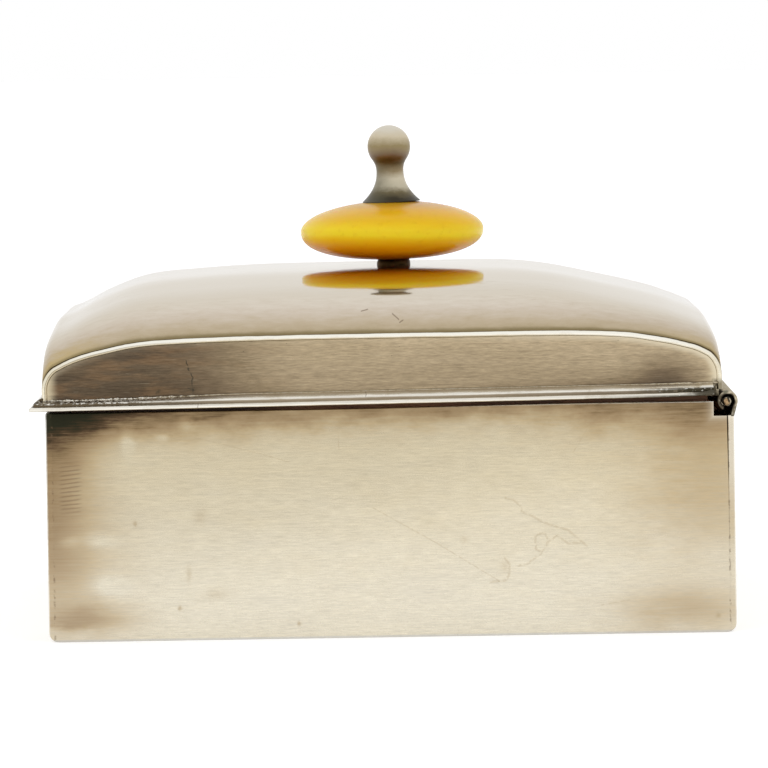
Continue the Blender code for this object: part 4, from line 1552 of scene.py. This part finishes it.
def discProfile():
    size = knobSettings
    bore = size["studRadius"]
    first = math.asin(bore / size["discRadius"])
    points = []
    for i in range(size["discSteps"] + 1):
        angle = first + (math.pi - 2 * first) * i / size["discSteps"]
        power = size["discPower"][1 if math.cos(angle) < 0 else 0]
        radius = size["discRadius"] * math.sin(angle) ** (2 / power)
        lift = -math.copysign(abs(math.cos(angle)) ** (2 / power), math.cos(angle))
        points.append((radius, size["discCentre"] + size["discHalfHeight"] * lift))
    points[0] = (bore, points[0][1])
    points[-1] = (bore, points[-1][1])
    return points


def finialProfile():
    size = knobSettings
    foot = size["discCentre"] + size["discHalfHeight"] - size["finialSink"]
    leave = math.radians(size["ballEnd"])
    points = [(0.0, size["ballCentre"] + size["ballRadius"])]
    for i in range(1, size["ballSteps"] + 1):
        angle = leave * i / size["ballSteps"]
        height = size["ballCentre"] + size["ballRadius"] * math.cos(angle)
        points.append((size["ballRadius"] * math.sin(angle), height))
    startRadius, start = points[-1]
    span = start - size["waistHeight"]
    slope = -math.cos(leave) / math.sin(leave) * span  # how fast the ball is closing there
    for i in range(1, size["neckSteps"] + 1):
        t = i / size["neckSteps"]
        radius = startRadius * (2 * t**3 - 3 * t**2 + 1) + size["waistRadius"] * (3 * t**2 - 2 * t**3)
        radius -= slope * 0.9 * (t**3 - 2 * t**2 + t)
        points.append((radius, start - span * t))
    drop = size["waistHeight"] - foot - size["skirtFoot"]
    flare = size["skirtRadius"] - size["waistRadius"]
    for i in range(1, size["skirtSteps"] + 1):
        share = i / size["skirtSteps"]
        radius = size["waistRadius"] + flare * share ** size["flarePower"]
        points.append((radius, size["waistHeight"] - drop * share))
    return points + [(size["skirtRadius"], foot), (0.0, foot)]


def makeKnob():
    size = knobSettings
    collarTop = size["seam"] + size["collarHeight"]
    foot, start = size["collarFoot"], size["collarStart"]
    radius = size["collarRadius"]
    collar = [(0.0, foot), (radius * 1.02, foot), (radius, start)]
    for i in range(1, 8):
        waist = 1 - 0.1 * math.sin(math.pi * i / 8)
        collar.append((radius * waist, start + (collarTop - start) * i / 8))
    collar = turnedSolid(collar + [(radius, collarTop), (0.0, collarTop)], size["steps"])
    # the collar's near-black is painted shade with a painted reflection of the resin disc
    addPiece("collar", collar, darkBrassAndShade, "lid", ["knob_collar"], 35, knobTurn)
    disc = turnedSolid(discProfile(), size["steps"])
    middle = Matrix.Translation((0.0, 0.0, size["discCentre"]))
    straighter = middle @ Matrix.Rotation(math.radians(size["discLean"]), 4, "X") @ middle.inverted()
    discTurn = knobTurn @ straighter
    addPiece("resin_disc", disc, amberResin, "lid", ["knob_disc"], 35, discTurn)
    finial = turnedSolid(finialProfile(), size["steps"])
    finialTurn = knobTurn @ Matrix.Translation((0.0, size["finialShift"], 0.0))
    addPiece("finial", finial, finialSilver, "lid", ["knob_finial"], 35, finialTurn)


def makeFastening():  # washer, nut and stud under the dome
    size = knobSettings
    top = size["domeRise"] - lidSettings["sheet"] + 0.02 * mm
    foot = top - size["washerThickness"]
    bore = size["studRadius"] + size["boreRoom"]
    edge = size["washerRound"]
    rim = size["washerRadius"]
    washer = [(bore, foot), (rim - edge, foot), (rim, foot + edge)]
    washer += [(rim, top - edge), (rim - edge, top), (bore, top)]
    washer = turnedSolid(washer, 64)
    addPiece("washer", washer, darkBrassAndShade, "lid", ["knob_washer"], 35, knobTurn)

    nutFoot = foot - size["nutHeight"]
    corner = size["nutFlats"] / 2 / math.cos(math.pi / 6)
    bm = bmesh.new()
    bmesh.ops.create_circle(bm, cap_ends=False, segments=6, radius=corner)
    bmesh.ops.translate(bm, vec=(0.0, 0.0, nutFoot), verts=bm.verts)
    first = bm.edges[:]
    closed(bm, first, pulled(bm, first, Matrix.Translation((0.0, 0.0, size["nutHeight"]))))
    bmesh.ops.recalc_face_normals(bm, faces=bm.faces)
    bevelled(bm, bm.edges[:], size["nutRound"])
    addPiece("nut", bm, darkBrassAndShade, "lid", ["knob_nut"], 30, knobTurn)

    # The stud's tail shows as a few turns of thread under the nut
    z = nutFoot - size["studTail"]
    profile = [(0.0, z)]
    while z < nutFoot + 0.2 * mm:
        profile.append((size["studRadius"] * 0.86, z))
        profile.append((size["studRadius"], z + size["threadPitch"] / 2))
        z += size["threadPitch"]
    collarTop = size["seam"] + size["collarHeight"]
    profile += [(size["studRadius"], z), (size["studRadius"], collarTop), (0.0, collarTop)]
    addPiece("stud", turnedSolid(profile, 32), darkBrassAndShade, "lid", ["knob_stud"], 30, knobTurn)


makeDome()
makeBeads()
makeLidPanels()
print("lid sheets")
makeMouldings()
makeSolder()
print("mouldings")
makeWrapper()
makeEndPanels()
print("body")
makeLining()
print("lining")
makeKnuckles()
makePin()
print("hinge")
makeKnob()
makeFastening()
print("knob")
